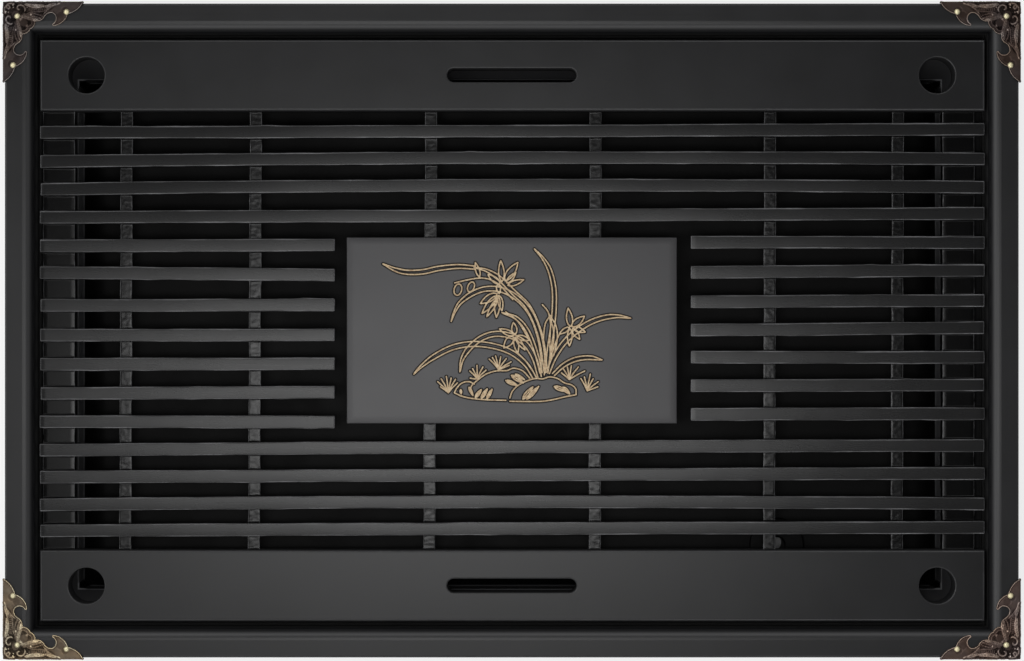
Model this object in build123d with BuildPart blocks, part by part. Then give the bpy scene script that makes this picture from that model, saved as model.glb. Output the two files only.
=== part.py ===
from build123d import *
import os

# Gongfu tea tray: a mitred frame on four feet, a water pan that hangs in it, and a slatted lid
# that lies on the pan. Millimetres, +Z up, origin on the table under the tray's middle.

# Frame
frame_length = 510.0
frame_width = 329.0
rail_height = 54.0
rail_thickness = 16.0
edge_radius = 1.2
round_run = 6.0
round_drop = 5.0
lid_recess_width = 1.2
lid_recess_depth = 18.0
rabbet_width = 8.0
base_thickness = 5.0
ledge_width = 12.0
ledge_height = 10.0

# Feet
foot_height = 8.0
foot_top_radius = 9.0
foot_bottom_radius = 7.5
foot_end_distance = 30.0
foot_recess_radius = 4.0
foot_recess_depth = 3.5

# Screws, all of one thickness
screw_radius = 1.5
screw_head_radius = 2.9
screw_head_height = 1.8
base_screw_length = 15.0
ledge_screw_length = 20.0
foot_screw_length = 16.0
pilot_clearance = 0.05
shank_clearance = 0.2
head_clearance = 0.1

# Corner guards and their nails; the nails stand at shares of a guard's leg from the two bends, so
# that the shanks from neighbouring faces pass each other in the wood
guard_leg = 40.7
guard_thickness = 0.8
guard_edge_radius = 0.5
nail_radius = 0.55
nail_length = 8.0
nail_head_radius = 1.5
nail_head_height = 0.9
top_nail_shares = ((0.767, 0.108), (0.108, 0.767), (0.16, 0.16))
long_face_nail_shares = ((0.713, 0.167), (0.108, 0.767), (0.26, 0.26))
short_face_nail_shares = ((0.713, 0.167), (0.167, 0.713), (0.26, 0.26))

# Lid
lid_gap = 1.8
board_width = 36.0
board_thickness = 14.0
slat_width = 6.5
slat_thickness = 7.0
long_slats_per_side = 4
short_slats_per_side = 7
short_slat_pitch = 14.55
slat_edge_radius = 0.5
panel_length = 166.5
panel_gap = 6.6
cleat_width = 16.4
cleat_inset_left = 0.6
cleat_inset_right = 3.3
batten_width = 6.3
outer_batten_end_distance = 43.0
middle_batten_end_distance = 107.5
inner_batten_panel_inset = 41.65
tenon_length = 6.0
tenon_thickness = 3.5
tenon_clearance = 0.1
finger_hole_radius = 9.0
finger_hole_end_distance = 22.7
slot_length = 65.0
slot_width = 6.8
board_edge_radius = 1.2
hole_edge_radius = 0.8

# The slats were laid by hand: how far each lies towards the back of its even place, as shares of
# its width, from the front row to the back
long_slat_shift_shares = (-0.015, -0.177, -0.185, -0.192, 0.069, 0.115, 0.115, 0.138)
left_slat_shift_shares = (-0.372, -0.369, -0.362, -0.346, -0.262, -0.077, -0.108)
right_slat_shift_shares = (0.246, 0.223, 0.166, 0.123, 0.046, 0.123, 0.123)

# Water pan; the well hangs between the ledges, with more room at the right and the back, and over
# the base board, with room there for the drain's nut
pan_gap = 1.5
pan_sheet = 2.0
well_room_left = 4.5
well_room_right = 6.5
well_room_front = 3.0
well_room_back = 7.0
floor_room = 6.0
well_corner_radius = 5.0
well_floor_radius = 3.0
pan_lip_radius = 1.2

# Drain
drain_end_distance = 82.1
drain_front_room = 4.1
drain_flange_radius = 14.0
drain_flange_thickness = 2.0
drain_bore_radius = 4.0
drain_stem_radius = 8.0
drain_rim_radius = 0.8
spigot_wall = 1.5
spigot_length = 11.0
spigot_chamfer = 0.8
gasket_thickness = 1.5
nut_radius = 13.0
nut_height = 5.0
thread_clearance = 0.05
drain_hole_clearance = 0.3
base_hole_clearance = 3.0

# How far cutting solids run past the faces that they cut
overrun = 2.0

# Levels, from the table up
rail_top = foot_height + rail_height
lid_top = rail_top - round_drop
lid_bottom = lid_top - board_thickness
flange_bottom = lid_bottom - pan_sheet
floor_bottom = foot_height + base_thickness + floor_room
well_depth = flange_bottom - floor_bottom
floor_top = floor_bottom + pan_sheet

# Plan sizes that follow from the ones above
inner_length = frame_length - 2 * rail_thickness
inner_width = frame_width - 2 * rail_thickness
face_width = rail_thickness - lid_recess_width - round_run
lid_length = inner_length - 2 * lid_gap
lid_width = inner_width - 2 * lid_gap
slat_field = lid_width - 2 * board_width
batten_thickness = board_thickness - slat_thickness
panel_width = (short_slats_per_side - 1) * short_slat_pitch + slat_width
board_middle = lid_width / 2 - board_width / 2
batten_places = (
    panel_length / 2 - inner_batten_panel_inset,
    lid_length / 2 - middle_batten_end_distance,
    lid_length / 2 - outer_batten_end_distance,
)
well_left = -(inner_length / 2 - ledge_width - well_room_left - pan_sheet)
well_right = inner_length / 2 - ledge_width - well_room_right - pan_sheet
well_front = -(inner_width / 2 - ledge_width - well_room_front - pan_sheet)
well_back = inner_width / 2 - ledge_width - well_room_back - pan_sheet
well_length = well_right - well_left
well_width = well_back - well_front
well_middle = ((well_left + well_right) / 2, (well_front + well_back) / 2)
drain_x = well_right - drain_end_distance
drain_y = well_front + well_floor_radius + drain_front_room + drain_flange_radius
spigot_radius = drain_bore_radius + spigot_wall

up = Vector(0, 0, 1)

os.makedirs("parts", exist_ok=True)


def save(builder, name):
    builder.part.label = name
    export_step(builder.part, "parts/" + name + ".step")


# Places of the screws
shoulder_inset = (rail_thickness + rabbet_width) / 2
screw_row_x = inner_length / 2 + rail_thickness - shoulder_inset
screw_row_y = inner_width / 2 + rail_thickness - shoulder_inset
long_row_shares = (-0.34, -0.17, 0.0, 0.17, 0.34)
short_row_shares = (-0.3, 0.0, 0.3)
base_screw_spots = []
for side in (-1, 1):
    for share in long_row_shares:
        base_screw_spots.append((share * frame_length, side * screw_row_y))
    for share in short_row_shares:
        base_screw_spots.append((side * screw_row_x, share * frame_width))
foot_x = frame_length / 2 - foot_end_distance
foot_spots = {
    "foot_front_left": (-foot_x, -screw_row_y),
    "foot_front_right": (foot_x, -screw_row_y),
    "foot_back_left": (-foot_x, screw_row_y),
    "foot_back_right": (foot_x, screw_row_y),
}
ledge_screw_z = flange_bottom - ledge_height / 2
ledge_screw_places = []
for side in (-1, 1):
    for share in long_row_shares:
        spot = (share * frame_length, side * (inner_width / 2 - ledge_width), ledge_screw_z)
        ledge_screw_places.append(Plane(origin=spot, z_dir=(0, -side, 0)).location)
    for share in short_row_shares:
        spot = (side * (inner_length / 2 - ledge_width), share * frame_width, ledge_screw_z)
        ledge_screw_places.append(Plane(origin=spot, z_dir=(-side, 0, 0)).location)



def leg_spots(shares):
    """Places on a guard's face, in millimetres, from shares of its leg."""
    return [(guard_leg * along, guard_leg * across) for along, across in shares]


# Places of the nails: each one's plane lies on the guard, with +Z out of the wood
nail_places = []
for end in (-1, 1):
    for side in (-1, 1):
        corner_x = end * frame_length / 2
        corner_y = side * frame_width / 2
        for in_x, in_y in leg_spots(top_nail_shares):
            spot = (corner_x - end * in_x, corner_y - side * in_y, rail_top + guard_thickness)
            nail_places.append(Plane(origin=spot, z_dir=(0, 0, 1)).location)
        for along, down in leg_spots(long_face_nail_shares):
            spot = (corner_x - end * along, corner_y + side * guard_thickness, rail_top - down)
            nail_places.append(Plane(origin=spot, z_dir=(0, side, 0)).location)
        for along, down in leg_spots(short_face_nail_shares):
            spot = (corner_x + end * guard_thickness, corner_y - side * along, rail_top - down)
            nail_places.append(Plane(origin=spot, z_dir=(end, 0, 0)).location)

# Pilot holes that the nails and screws need in the wood
with BuildPart() as pilots:
    with Locations(*nail_places):
        Cylinder(
            nail_radius + pilot_clearance,
            nail_length + overrun,
            align=(Align.CENTER, Align.CENTER, Align.MAX),
        )
    with Locations(*[(x, y, foot_height) for x, y in base_screw_spots]):
        Cylinder(
            screw_radius + pilot_clearance,
            base_screw_length + overrun,
            align=(Align.CENTER, Align.CENTER, Align.MIN),
        )
    with Locations(*[(x, y, foot_recess_depth) for x, y in foot_spots.values()]):
        Cylinder(
            screw_radius + pilot_clearance,
            foot_screw_length + overrun,
            align=(Align.CENTER, Align.CENTER, Align.MIN),
        )
    with Locations(*ledge_screw_places):
        Cylinder(
            screw_radius + pilot_clearance,
            ledge_screw_length + overrun,
            align=(Align.CENTER, Align.CENTER, Align.MAX),
        )


def make_rail(name, inward, run_length, outer_distance):
    """One rail: a flat face that rounds over towards the lid, set back beside it, mitred at both ends."""
    along = inward.cross(up)
    middle = up * foot_height - inward * outer_distance
    recess_face = face_width + round_run
    with BuildPart() as rail:
        with BuildSketch(Plane(origin=middle, x_dir=inward, z_dir=along)):
            with BuildLine():
                Polyline(
                    (edge_radius, rail_height),
                    (face_width, rail_height),
                )
                TangentArc(
                    (face_width, rail_height),
                    (recess_face, rail_height - round_drop),
                    tangent=(1, 0),
                )
                Polyline(
                    (recess_face, rail_height - round_drop),
                    (recess_face, rail_height - lid_recess_depth),
                    (rail_thickness, rail_height - lid_recess_depth),
                    (rail_thickness, base_thickness),
                    (rail_thickness - rabbet_width, base_thickness),
                    (rail_thickness - rabbet_width, 0),
                    (0, 0),
                    (0, rail_height - edge_radius),
                )
                TangentArc(
                    (0, rail_height - edge_radius),
                    (edge_radius, rail_height),
                    tangent=(0, 1),
                )
            make_face()
        extrude(amount=run_length / 2, both=True)
        for end in (-1, 1):
            corner = middle + along * (end * run_length / 2)
            split(bisect_by=Plane(origin=corner, z_dir=-inward - along * end), keep=Keep.TOP)
        add(pilots.part, mode=Mode.SUBTRACT)
    save(rail, name)


make_rail("rail_front", Vector(0, 1, 0), frame_length, frame_width / 2)
make_rail("rail_back", Vector(0, -1, 0), frame_length, frame_width / 2)
make_rail("rail_left", Vector(1, 0, 0), frame_width, frame_length / 2)
make_rail("rail_right", Vector(-1, 0, 0), frame_width, frame_length / 2)

# Base board, let into the rails' rabbets, with the hole that the drain's nut passes
base_fit_length = inner_length + 2 * rabbet_width - 2 * pilot_clearance
base_fit_width = inner_width + 2 * rabbet_width - 2 * pilot_clearance
with BuildPart() as base_board:
    with BuildSketch(Plane.XY.offset(foot_height)):
        Rectangle(base_fit_length, base_fit_width)
        with Locations(*base_screw_spots):
            Circle(screw_radius + shank_clearance, mode=Mode.SUBTRACT)
        with Locations(*foot_spots.values()):
            Circle(screw_radius + shank_clearance, mode=Mode.SUBTRACT)
        with Locations((drain_x, drain_y)):
            Circle(nut_radius + base_hole_clearance, mode=Mode.SUBTRACT)
    extrude(amount=base_thickness)
    with Locations(*[(x, y, foot_height) for x, y in base_screw_spots]):
        Cone(
            screw_head_radius + head_clearance,
            screw_radius + shank_clearance,
            screw_head_height + head_clearance,
            align=(Align.CENTER, Align.CENTER, Align.MIN),
            mode=Mode.SUBTRACT,
        )
save(base_board, "base_board")


def make_ledge(name, length, x, y):
    """One ledge strip on a rail's inner face, with countersunk holes for its screws."""
    size_x, size_y = (length, ledge_width) if x == 0 else (ledge_width, length)
    with BuildPart() as ledge:
        with BuildSketch(Plane.XY.offset(flange_bottom - ledge_height)):
            with Locations((x, y)):
                Rectangle(size_x, size_y)
        extrude(amount=ledge_height)
        with Locations(*ledge_screw_places):
            Cylinder(
                screw_radius + shank_clearance,
                ledge_width,
                align=(Align.CENTER, Align.CENTER, Align.MAX),
                mode=Mode.SUBTRACT,
            )
            Cone(
                screw_radius + shank_clearance,
                screw_head_radius + head_clearance,
                screw_head_height + head_clearance,
                align=(Align.CENTER, Align.CENTER, Align.MAX),
                mode=Mode.SUBTRACT,
            )
    save(ledge, name)


ledge_x = inner_length / 2 - ledge_width / 2
ledge_y = inner_width / 2 - ledge_width / 2
make_ledge("ledge_front", inner_length, 0, -ledge_y)
make_ledge("ledge_back", inner_length, 0, ledge_y)
make_ledge("ledge_left", inner_width - 2 * ledge_width, -ledge_x, 0)
make_ledge("ledge_right", inner_width - 2 * ledge_width, ledge_x, 0)

# Feet
for name, (x, y) in foot_spots.items():
    with BuildPart() as foot:
        with Locations((x, y, 0)):
            Cone(
                foot_bottom_radius,
                foot_top_radius,
                foot_height,
                align=(Align.CENTER, Align.CENTER, Align.MIN),
            )
            Cylinder(
                foot_recess_radius,
                foot_recess_depth,
                align=(Align.CENTER, Align.CENTER, Align.MIN),
                mode=Mode.SUBTRACT,
            )
            Cylinder(
                screw_radius + shank_clearance,
                foot_height,
                align=(Align.CENTER, Align.CENTER, Align.MIN),
                mode=Mode.SUBTRACT,
            )
    save(foot, name)


def make_screw(length, head_side):
    """A screw pointing down from z = 0, where its head's top lies; head_side shapes the head."""
    with BuildPart() as screw:
        with BuildSketch(Plane.XZ):
            with BuildLine():
                Polyline(
                    (0, 0),
                    *head_side,
                    (screw_radius, -screw_head_height),
                    (screw_radius, screw_radius - length),
                    (0, -length),
                    close=True,
                )
            make_face()
        revolve(axis=Axis.Z)
    return screw.part


flat_head = [(screw_head_radius, 0)]
pan_head = [(screw_head_radius, 0), (screw_head_radius, -screw_head_height)]
base_screw = make_screw(base_screw_length, flat_head)
with BuildPart() as base_screws:
    places = [Plane(origin=(x, y, foot_height), z_dir=(0, 0, -1)) for x, y in base_screw_spots]
    with Locations(*[place.location for place in places]):
        add(base_screw)
save(base_screws, "base_screws")

ledge_screw = make_screw(ledge_screw_length, flat_head)
with BuildPart() as ledge_screws:
    with Locations(*ledge_screw_places):
        add(ledge_screw)
save(ledge_screws, "ledge_screws")

foot_screw = make_screw(foot_screw_length, pan_head)
foot_screw_seat = foot_recess_depth - screw_head_height
with BuildPart() as foot_screws:
    places = [Plane(origin=(x, y, foot_screw_seat), z_dir=(0, 0, -1)) for x, y in foot_spots.values()]
    with Locations(*[place.location for place in places]):
        add(foot_screw)
save(foot_screws, "foot_screws")

# Half of a guard face's outline, as shares of its leg: from the tip along the bend to the cusp on
# the diagonal. Each row is a point that the arc goes through and the point where it ends.
guard_tip_share = (1.0, 0.0)
guard_arc_shares = (
    ((0.925, 0.098), (0.805, 0.155)),
    ((0.742, 0.255), (0.635, 0.302)),
    ((0.612, 0.292), (0.618, 0.270)),
    ((0.655, 0.200), (0.610, 0.142)),
    ((0.560, 0.150), (0.515, 0.195)),
    ((0.470, 0.236), (0.405, 0.245)),
    ((0.390, 0.303), (0.342, 0.342)),
)


def guard_face_line():
    """The closed outline of one guard face, mirrored about its diagonal."""
    start = guard_tip_share
    Line((0, 0), (guard_leg * start[0], guard_leg * start[1]))
    Line((0, 0), (guard_leg * start[1], guard_leg * start[0]))
    for through, stop in guard_arc_shares:
        points = [(guard_leg * a, guard_leg * b) for a, b in (start, through, stop)]
        ThreePointArc(*points)
        ThreePointArc(*[(b, a) for a, b in points])
        start = stop


def make_guard(name, end, side):
    """A corner guard: three like faces that meet on the frame's corner, each on its own plane."""
    along_x = Vector(-end, 0, 0)
    along_y = Vector(0, -side, 0)
    corner = Vector(
        end * (frame_length / 2 + guard_thickness),
        side * (frame_width / 2 + guard_thickness),
        rail_top + guard_thickness,
    )
    with BuildPart() as guard:
        ways = (
            (along_x, along_y, -up),
            (along_y, -up, along_x),
            (-up, along_x, along_y),
        )
        for first, second, inward in ways:
            x_way = first if first.cross(second).dot(inward) > 0 else second
            with BuildSketch(Plane(origin=corner, x_dir=x_way, z_dir=inward)):
                with BuildLine():
                    guard_face_line()
                make_face()
            extrude(amount=guard_thickness)
        outer = guard.edges().filter_by(
            lambda edge: (edge.position_at(0) - corner).length < guard_edge_radius / 2
            or (edge.position_at(1) - corner).length < guard_edge_radius / 2
        )
        fillet(outer, guard_edge_radius)
        with Locations(*nail_places):
            Cylinder(nail_radius + head_clearance, 2 * overrun, mode=Mode.SUBTRACT)
    save(guard, name)


make_guard("corner_guard_front_left", -1, -1)
make_guard("corner_guard_front_right", 1, -1)
make_guard("corner_guard_back_left", -1, 1)
make_guard("corner_guard_back_right", 1, 1)

# Nails: a thin shank and a domed head on the guard
with BuildPart() as nail:
    with BuildSketch(Plane.XZ):
        with BuildLine():
            Polyline(
                (0, nail_head_height),
                (0, -nail_length),
                (nail_radius, nail_radius - nail_length),
                (nail_radius, 0),
                (nail_head_radius, 0),
            )
            TangentArc((0, nail_head_height), (nail_head_radius, 0), tangent=(1, 0))
        make_face()
    revolve(axis=Axis.Z)
with BuildPart() as guard_nails:
    with Locations(*nail_places):
        add(nail.part)
save(guard_nails, "guard_nails")

# Water pan: a flange that hangs on the ledges, and a well below it
with BuildPart() as water_pan:
    with BuildSketch(Plane.XY.offset(flange_bottom)):
        RectangleRounded(
            inner_length - 2 * pan_gap,
            inner_width - 2 * pan_gap,
            well_corner_radius,
        )
    extrude(amount=pan_sheet)
    with BuildSketch(Plane.XY.offset(floor_bottom)):
        with Locations(well_middle):
            RectangleRounded(
                well_length + 2 * pan_sheet,
                well_width + 2 * pan_sheet,
                well_corner_radius + pan_sheet,
            )
    extrude(amount=well_depth)
    with BuildSketch(Plane.XY.offset(floor_top)):
        with Locations(well_middle):
            RectangleRounded(well_length, well_width, well_corner_radius)
    extrude(amount=well_depth, mode=Mode.SUBTRACT)
    level_faces = water_pan.faces().filter_by(Axis.Z)
    well_floor = level_faces.filter_by(lambda face: abs(face.center().Z - floor_top) < pan_sheet / 2)
    fillet(well_floor.edges(), well_floor_radius)
    lip_edges = water_pan.faces().sort_by(Axis.Z)[-1].inner_wires()[0].edges()
    fillet(lip_edges, pan_lip_radius)
    with BuildSketch(Plane.XY.offset(floor_bottom)):
        with Locations((drain_x, drain_y)):
            Circle(drain_stem_radius + drain_hole_clearance)
    extrude(amount=pan_sheet, mode=Mode.SUBTRACT)
save(water_pan, "water_pan")

# Drain: a flanged body clamped through the pan's floor by its nut, with a spigot for a hose
flange_seat = floor_top + gasket_thickness
nut_bottom = floor_bottom - nut_height
spigot_end = nut_bottom - spigot_length
with BuildPart() as drain_fitting:
    with BuildSketch(Plane(origin=(drain_x, drain_y, 0), x_dir=(1, 0, 0), z_dir=(0, -1, 0))):
        with BuildLine():
            Polyline(
                (drain_bore_radius, flange_seat + drain_flange_thickness),
                (drain_flange_radius, flange_seat + drain_flange_thickness),
                (drain_flange_radius, flange_seat),
                (drain_stem_radius, flange_seat),
                (drain_stem_radius, nut_bottom),
                (spigot_radius, nut_bottom),
                (spigot_radius, spigot_end + spigot_chamfer),
                (spigot_radius - spigot_chamfer, spigot_end),
                (drain_bore_radius, spigot_end),
                close=True,
            )
        make_face()
    revolve(axis=Axis((drain_x, drain_y, 0), (0, 0, 1)))
    rim = drain_fitting.edges().filter_by(GeomType.CIRCLE).group_by(Axis.Z)[-1]
    fillet(rim, drain_rim_radius)
save(drain_fitting, "drain_fitting")

with BuildPart() as drain_gasket:
    with BuildSketch(Plane.XY.offset(floor_top)):
        with Locations((drain_x, drain_y)):
            Circle(drain_flange_radius)
            Circle(drain_stem_radius + drain_hole_clearance, mode=Mode.SUBTRACT)
    extrude(amount=gasket_thickness)
save(drain_gasket, "drain_gasket")

with BuildPart() as drain_nut:
    with BuildSketch(Plane.XY.offset(nut_bottom)):
        with Locations((drain_x, drain_y)):
            RegularPolygon(nut_radius, 6)
            Circle(drain_stem_radius + thread_clearance, mode=Mode.SUBTRACT)
    extrude(amount=nut_height)
save(drain_nut, "drain_nut")

# Lid members that cross under the slats: where each stands, and how wide it is
left_cleat_middle = -(lid_length / 2 - cleat_inset_left - cleat_width / 2)
right_cleat_middle = lid_length / 2 - cleat_inset_right - cleat_width / 2
cross_members = {"end_cleat_left": (left_cleat_middle, cleat_width)}
for number, place in enumerate([-place for place in reversed(batten_places)] + list(batten_places)):
    cross_members["batten_" + str(number + 1)] = (place, batten_width)
cross_members["end_cleat_right"] = (right_cleat_middle, cleat_width)
tenon_inset = (batten_thickness - tenon_thickness) / 2


def make_board(name, side):
    """A wide lid board with two finger holes, a slot, and mortises for the members' tenons."""
    middle = side * board_middle
    inner_edge = side * slat_field / 2
    hole_x = lid_length / 2 - finger_hole_end_distance
    with BuildPart() as board:
        with BuildSketch(Plane.XY.offset(lid_bottom)):
            with Locations((0, middle)):
                Rectangle(lid_length, board_width)
                SlotOverall(slot_length, slot_width, mode=Mode.SUBTRACT)
            with Locations((-hole_x, middle), (hole_x, middle)):
                Circle(finger_hole_radius, mode=Mode.SUBTRACT)
        extrude(amount=board_thickness)
        top = board.faces().sort_by(Axis.Z)[-1]
        fillet([edge for wire in top.inner_wires() for edge in wire.edges()], hole_edge_radius)
        top = board.faces().sort_by(Axis.Z)[-1]
        fillet(top.outer_wire().edges(), board_edge_radius)
        with BuildSketch(Plane.XY.offset(lid_bottom + tenon_inset - tenon_clearance)):
            for place, width in cross_members.values():
                with Locations((place, inner_edge)):
                    Rectangle(width + 2 * tenon_clearance, 2 * (tenon_length + tenon_clearance))
        extrude(amount=tenon_thickness + 2 * tenon_clearance, mode=Mode.SUBTRACT)
    save(board, name)


make_board("lid_board_front", -1)
make_board("lid_board_back", 1)

for name, (place, width) in cross_members.items():
    with BuildPart() as member:
        with BuildSketch(Plane.XY.offset(lid_bottom)):
            with Locations((place, 0)):
                Rectangle(width, slat_field)
        extrude(amount=batten_thickness)
        with BuildSketch(Plane.XY.offset(lid_bottom + tenon_inset)):
            with Locations((place, 0)):
                Rectangle(width, slat_field + 2 * tenon_length)
        extrude(amount=tenon_thickness)
    save(member, name)


def make_top_piece(name, length, width, x, y, radius):
    """A slat or the panel: it lies on the cross members, with its top edges eased."""
    with BuildPart() as piece:
        with BuildSketch(Plane.XY.offset(lid_top - slat_thickness)):
            with Locations((x, y)):
                Rectangle(length, width)
        extrude(amount=slat_thickness)
        fillet(piece.faces().sort_by(Axis.Z)[-1].edges(), radius)
    save(piece, name)


# Long slats share the room between the boards and the panel's rows evenly
long_room = (slat_field - panel_width) / 2
long_gap = (long_room - long_slats_per_side * slat_width) / (long_slats_per_side + 1)
long_number = 0
for side in (-1, 1):
    for row in range(long_slats_per_side):
        step = row if side > 0 else long_slats_per_side - 1 - row
        away = panel_width / 2 + long_gap + slat_width / 2 + step * (slat_width + long_gap)
        long_number += 1
        name = "long_slat_" + str(long_number)
        y = side * away + slat_width * long_slat_shift_shares[long_number - 1]
        make_top_piece(name, lid_length, slat_width, 0, y, slat_edge_radius)

# Short slats stand beside the panel
short_length = (lid_length - panel_length) / 2 - panel_gap
short_middle = lid_length / 2 - short_length / 2
for row in range(short_slats_per_side):
    even = (row - (short_slats_per_side - 1) / 2) * short_slat_pitch
    for side_name, side, shares in (
        ("left", -1, left_slat_shift_shares),
        ("right", 1, right_slat_shift_shares),
    ):
        name = "short_slat_" + side_name + "_" + str(row + 1)
        y = even + slat_width * shares[row]
        make_top_piece(name, short_length, slat_width, side * short_middle, y, slat_edge_radius)

make_top_piece("centre_panel", panel_length, panel_width, 0, 0, board_edge_radius)
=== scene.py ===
import math
import random

import bmesh
import bpy
import numpy as np
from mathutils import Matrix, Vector, noise
from mathutils.geometry import delaunay_2d_cdt
from mathutils.kdtree import KDTree


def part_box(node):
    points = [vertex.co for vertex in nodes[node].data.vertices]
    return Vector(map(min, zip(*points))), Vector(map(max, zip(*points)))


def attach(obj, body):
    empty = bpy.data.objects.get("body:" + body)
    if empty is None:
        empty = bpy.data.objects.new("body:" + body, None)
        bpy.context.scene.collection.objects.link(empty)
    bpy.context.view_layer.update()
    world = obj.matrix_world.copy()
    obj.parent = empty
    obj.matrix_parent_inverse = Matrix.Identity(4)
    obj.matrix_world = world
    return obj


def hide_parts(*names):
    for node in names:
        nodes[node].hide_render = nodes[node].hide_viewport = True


# Gongfu tea tray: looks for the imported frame, pan and lid. Lengths of shapes and depths of bump are
# in millimetres; places in materials, the light and the camera are in metres.
MM = 0.001

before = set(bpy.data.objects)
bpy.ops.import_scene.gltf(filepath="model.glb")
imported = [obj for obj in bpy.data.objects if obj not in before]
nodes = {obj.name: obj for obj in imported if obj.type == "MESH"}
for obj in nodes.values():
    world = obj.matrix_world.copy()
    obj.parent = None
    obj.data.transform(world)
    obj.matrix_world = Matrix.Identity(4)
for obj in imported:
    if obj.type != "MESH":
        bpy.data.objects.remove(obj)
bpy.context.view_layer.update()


def smooth(mesh, sharp_deg):
    mesh.polygons.foreach_set("use_smooth", [True] * len(mesh.polygons))
    mesh.set_sharp_from_angle(angle=math.radians(sharp_deg))


def face_outward(mesh, merge=0.0, sliver=0.0):
    """Turns faces outward, after joining what lies nearer than merge and dropping edges below sliver."""
    work = bmesh.new()
    work.from_mesh(mesh)
    if merge:
        bmesh.ops.remove_doubles(work, verts=work.verts, dist=merge * MM)
        bmesh.ops.dissolve_degenerate(work, edges=work.edges, dist=sliver * MM)
    bmesh.ops.recalc_face_normals(work, faces=work.faces)
    work.to_mesh(mesh)
    work.free()


def link(name, data):
    """A new object in the scene."""
    obj = bpy.data.objects.new(name, data)
    bpy.context.scene.collection.objects.link(obj)
    return obj


def make_object(name, verts, faces, body, material, sharp_deg):
    mesh = bpy.data.meshes.new(name)
    mesh.from_pydata([tuple(v) for v in verts], [], faces)
    mesh.validate()
    smooth(mesh, sharp_deg)
    obj = link(name, mesh)
    mesh.materials.append(material)
    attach(obj, body)
    return obj


def set_attribute(mesh, name, values):
    attribute = mesh.attributes.new(name, "FLOAT", "POINT")
    attribute.data.foreach_set("value", np.asarray(values, np.float32))


def smooth_line(points, step):
    """A Catmull-Rom curve through the points, sampled about every step."""
    p = [np.array(q, float) for q in points]
    if len(p) == 2:
        count = max(2, int(np.linalg.norm(p[1] - p[0]) / step) + 1)
        return np.array([p[0] + (p[1] - p[0]) * t for t in np.linspace(0, 1, count)])
    ends = [2 * p[0] - p[1]] + p + [2 * p[-1] - p[-2]]
    out = [p[0]]
    for i in range(1, len(ends) - 2):
        a, b, c, d = ends[i - 1], ends[i], ends[i + 1], ends[i + 2]
        count = max(1, int(np.linalg.norm(c - b) / step))
        for k in range(1, count + 1):
            t = k / count
            out.append(0.5 * (2 * b + (c - a) * t + (2 * a - 5 * b + 4 * c - d) * t * t
                              + (3 * b - a - 3 * c + d) * t ** 3))
    return np.array(out)


def unit(values):
    return np.clip(values, 0, 1)


def hump(distance, half):
    """One on a line, and nought from the distance half on."""
    return unit(1 - (distance / half) ** 2)


def left_of(line):
    """Unit normals of a line, to the left of its way."""
    tangent = np.gradient(line, axis=0)
    tangent /= np.maximum(np.linalg.norm(tangent, axis=1), 1e-9)[:, None]
    return np.stack([-tangent[:, 1], tangent[:, 0]], axis=1)


def arc_points(a, through, c, count):
    """Points on the circle arc from a over through to c, without a."""
    (ax, ay), (bx, by), (cx, cy) = a, through, c
    a2, b2, c2 = ax * ax + ay * ay, bx * bx + by * by, cx * cx + cy * cy
    d = 2 * (ax * (by - cy) + bx * (cy - ay) + cx * (ay - by))
    ux = (a2 * (by - cy) + b2 * (cy - ay) + c2 * (ay - by)) / d
    uy = (a2 * (cx - bx) + b2 * (ax - cx) + c2 * (bx - ax)) / d
    start = math.atan2(ay - uy, ax - ux)
    mid = (math.atan2(by - uy, bx - ux) - start) % (2 * math.pi)
    end = (math.atan2(cy - uy, cx - ux) - start) % (2 * math.pi)
    sweep = end if mid < end else end - 2 * math.pi
    r = math.hypot(ax - ux, ay - uy)
    angles = [start + sweep * k / count for k in range(1, count + 1)]
    return [(ux + r * math.cos(angle), uy + r * math.sin(angle)) for angle in angles]


def line_distance(points, line):
    """Distance of each point to a polyline, and how far along it (0 to 1) the nearest place is."""
    points = np.asarray(points, float)
    line = np.asarray(line, float)
    best = np.full(len(points), 1e9)
    where = np.zeros(len(points))
    lengths = np.linalg.norm(np.diff(line, axis=0), axis=1)
    total = max(lengths.sum(), 1e-9)
    done = 0.0
    for a, b, length in zip(line[:-1], line[1:], lengths):
        if length < 1e-9:
            continue
        t = unit(((points - a) @ (b - a)) / length ** 2)
        d = np.linalg.norm(points - (a + t[:, None] * (b - a)), axis=1)
        near = d < best
        best[near] = d[near]
        where[near] = (done + t[near] * length) / total
        done += length
    return best, where


def new_material(name):
    material = bpy.data.materials.new(name)
    material.use_nodes = True
    tree = material.node_tree
    return material, tree, tree.nodes["Principled BSDF"]


def feed(tree, value, socket):
    """Gives a socket a link, a number or a colour."""
    if isinstance(value, bpy.types.NodeSocket):
        tree.links.new(value, socket)
    else:
        socket.default_value = (*value, 1.0) if isinstance(value, tuple) else value


def add(tree, kind, *inputs, **settings):
    """A node with its settings, and its first inputs fed in their order."""
    node = tree.nodes.new(kind)
    for key, value in settings.items():
        setattr(node, key, value)
    for socket, value in zip(node.inputs, inputs):
        feed(tree, value, socket)
    return node


def calc(tree, operation, *values):
    return add(tree, "ShaderNodeMath", *values, operation=operation).outputs[0]


def blend(tree, share, first, second, kind="RGBA", blend_type="MIX"):
    """The first value where the share is nought and the second where it is one."""
    node = add(tree, "ShaderNodeMix", share, data_type=kind, blend_type=blend_type)
    start, end = (6, 2) if kind == "RGBA" else (2, 0)
    feed(tree, first, node.inputs[start])
    feed(tree, second, node.inputs[start + 1])
    return node.outputs[end]


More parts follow.
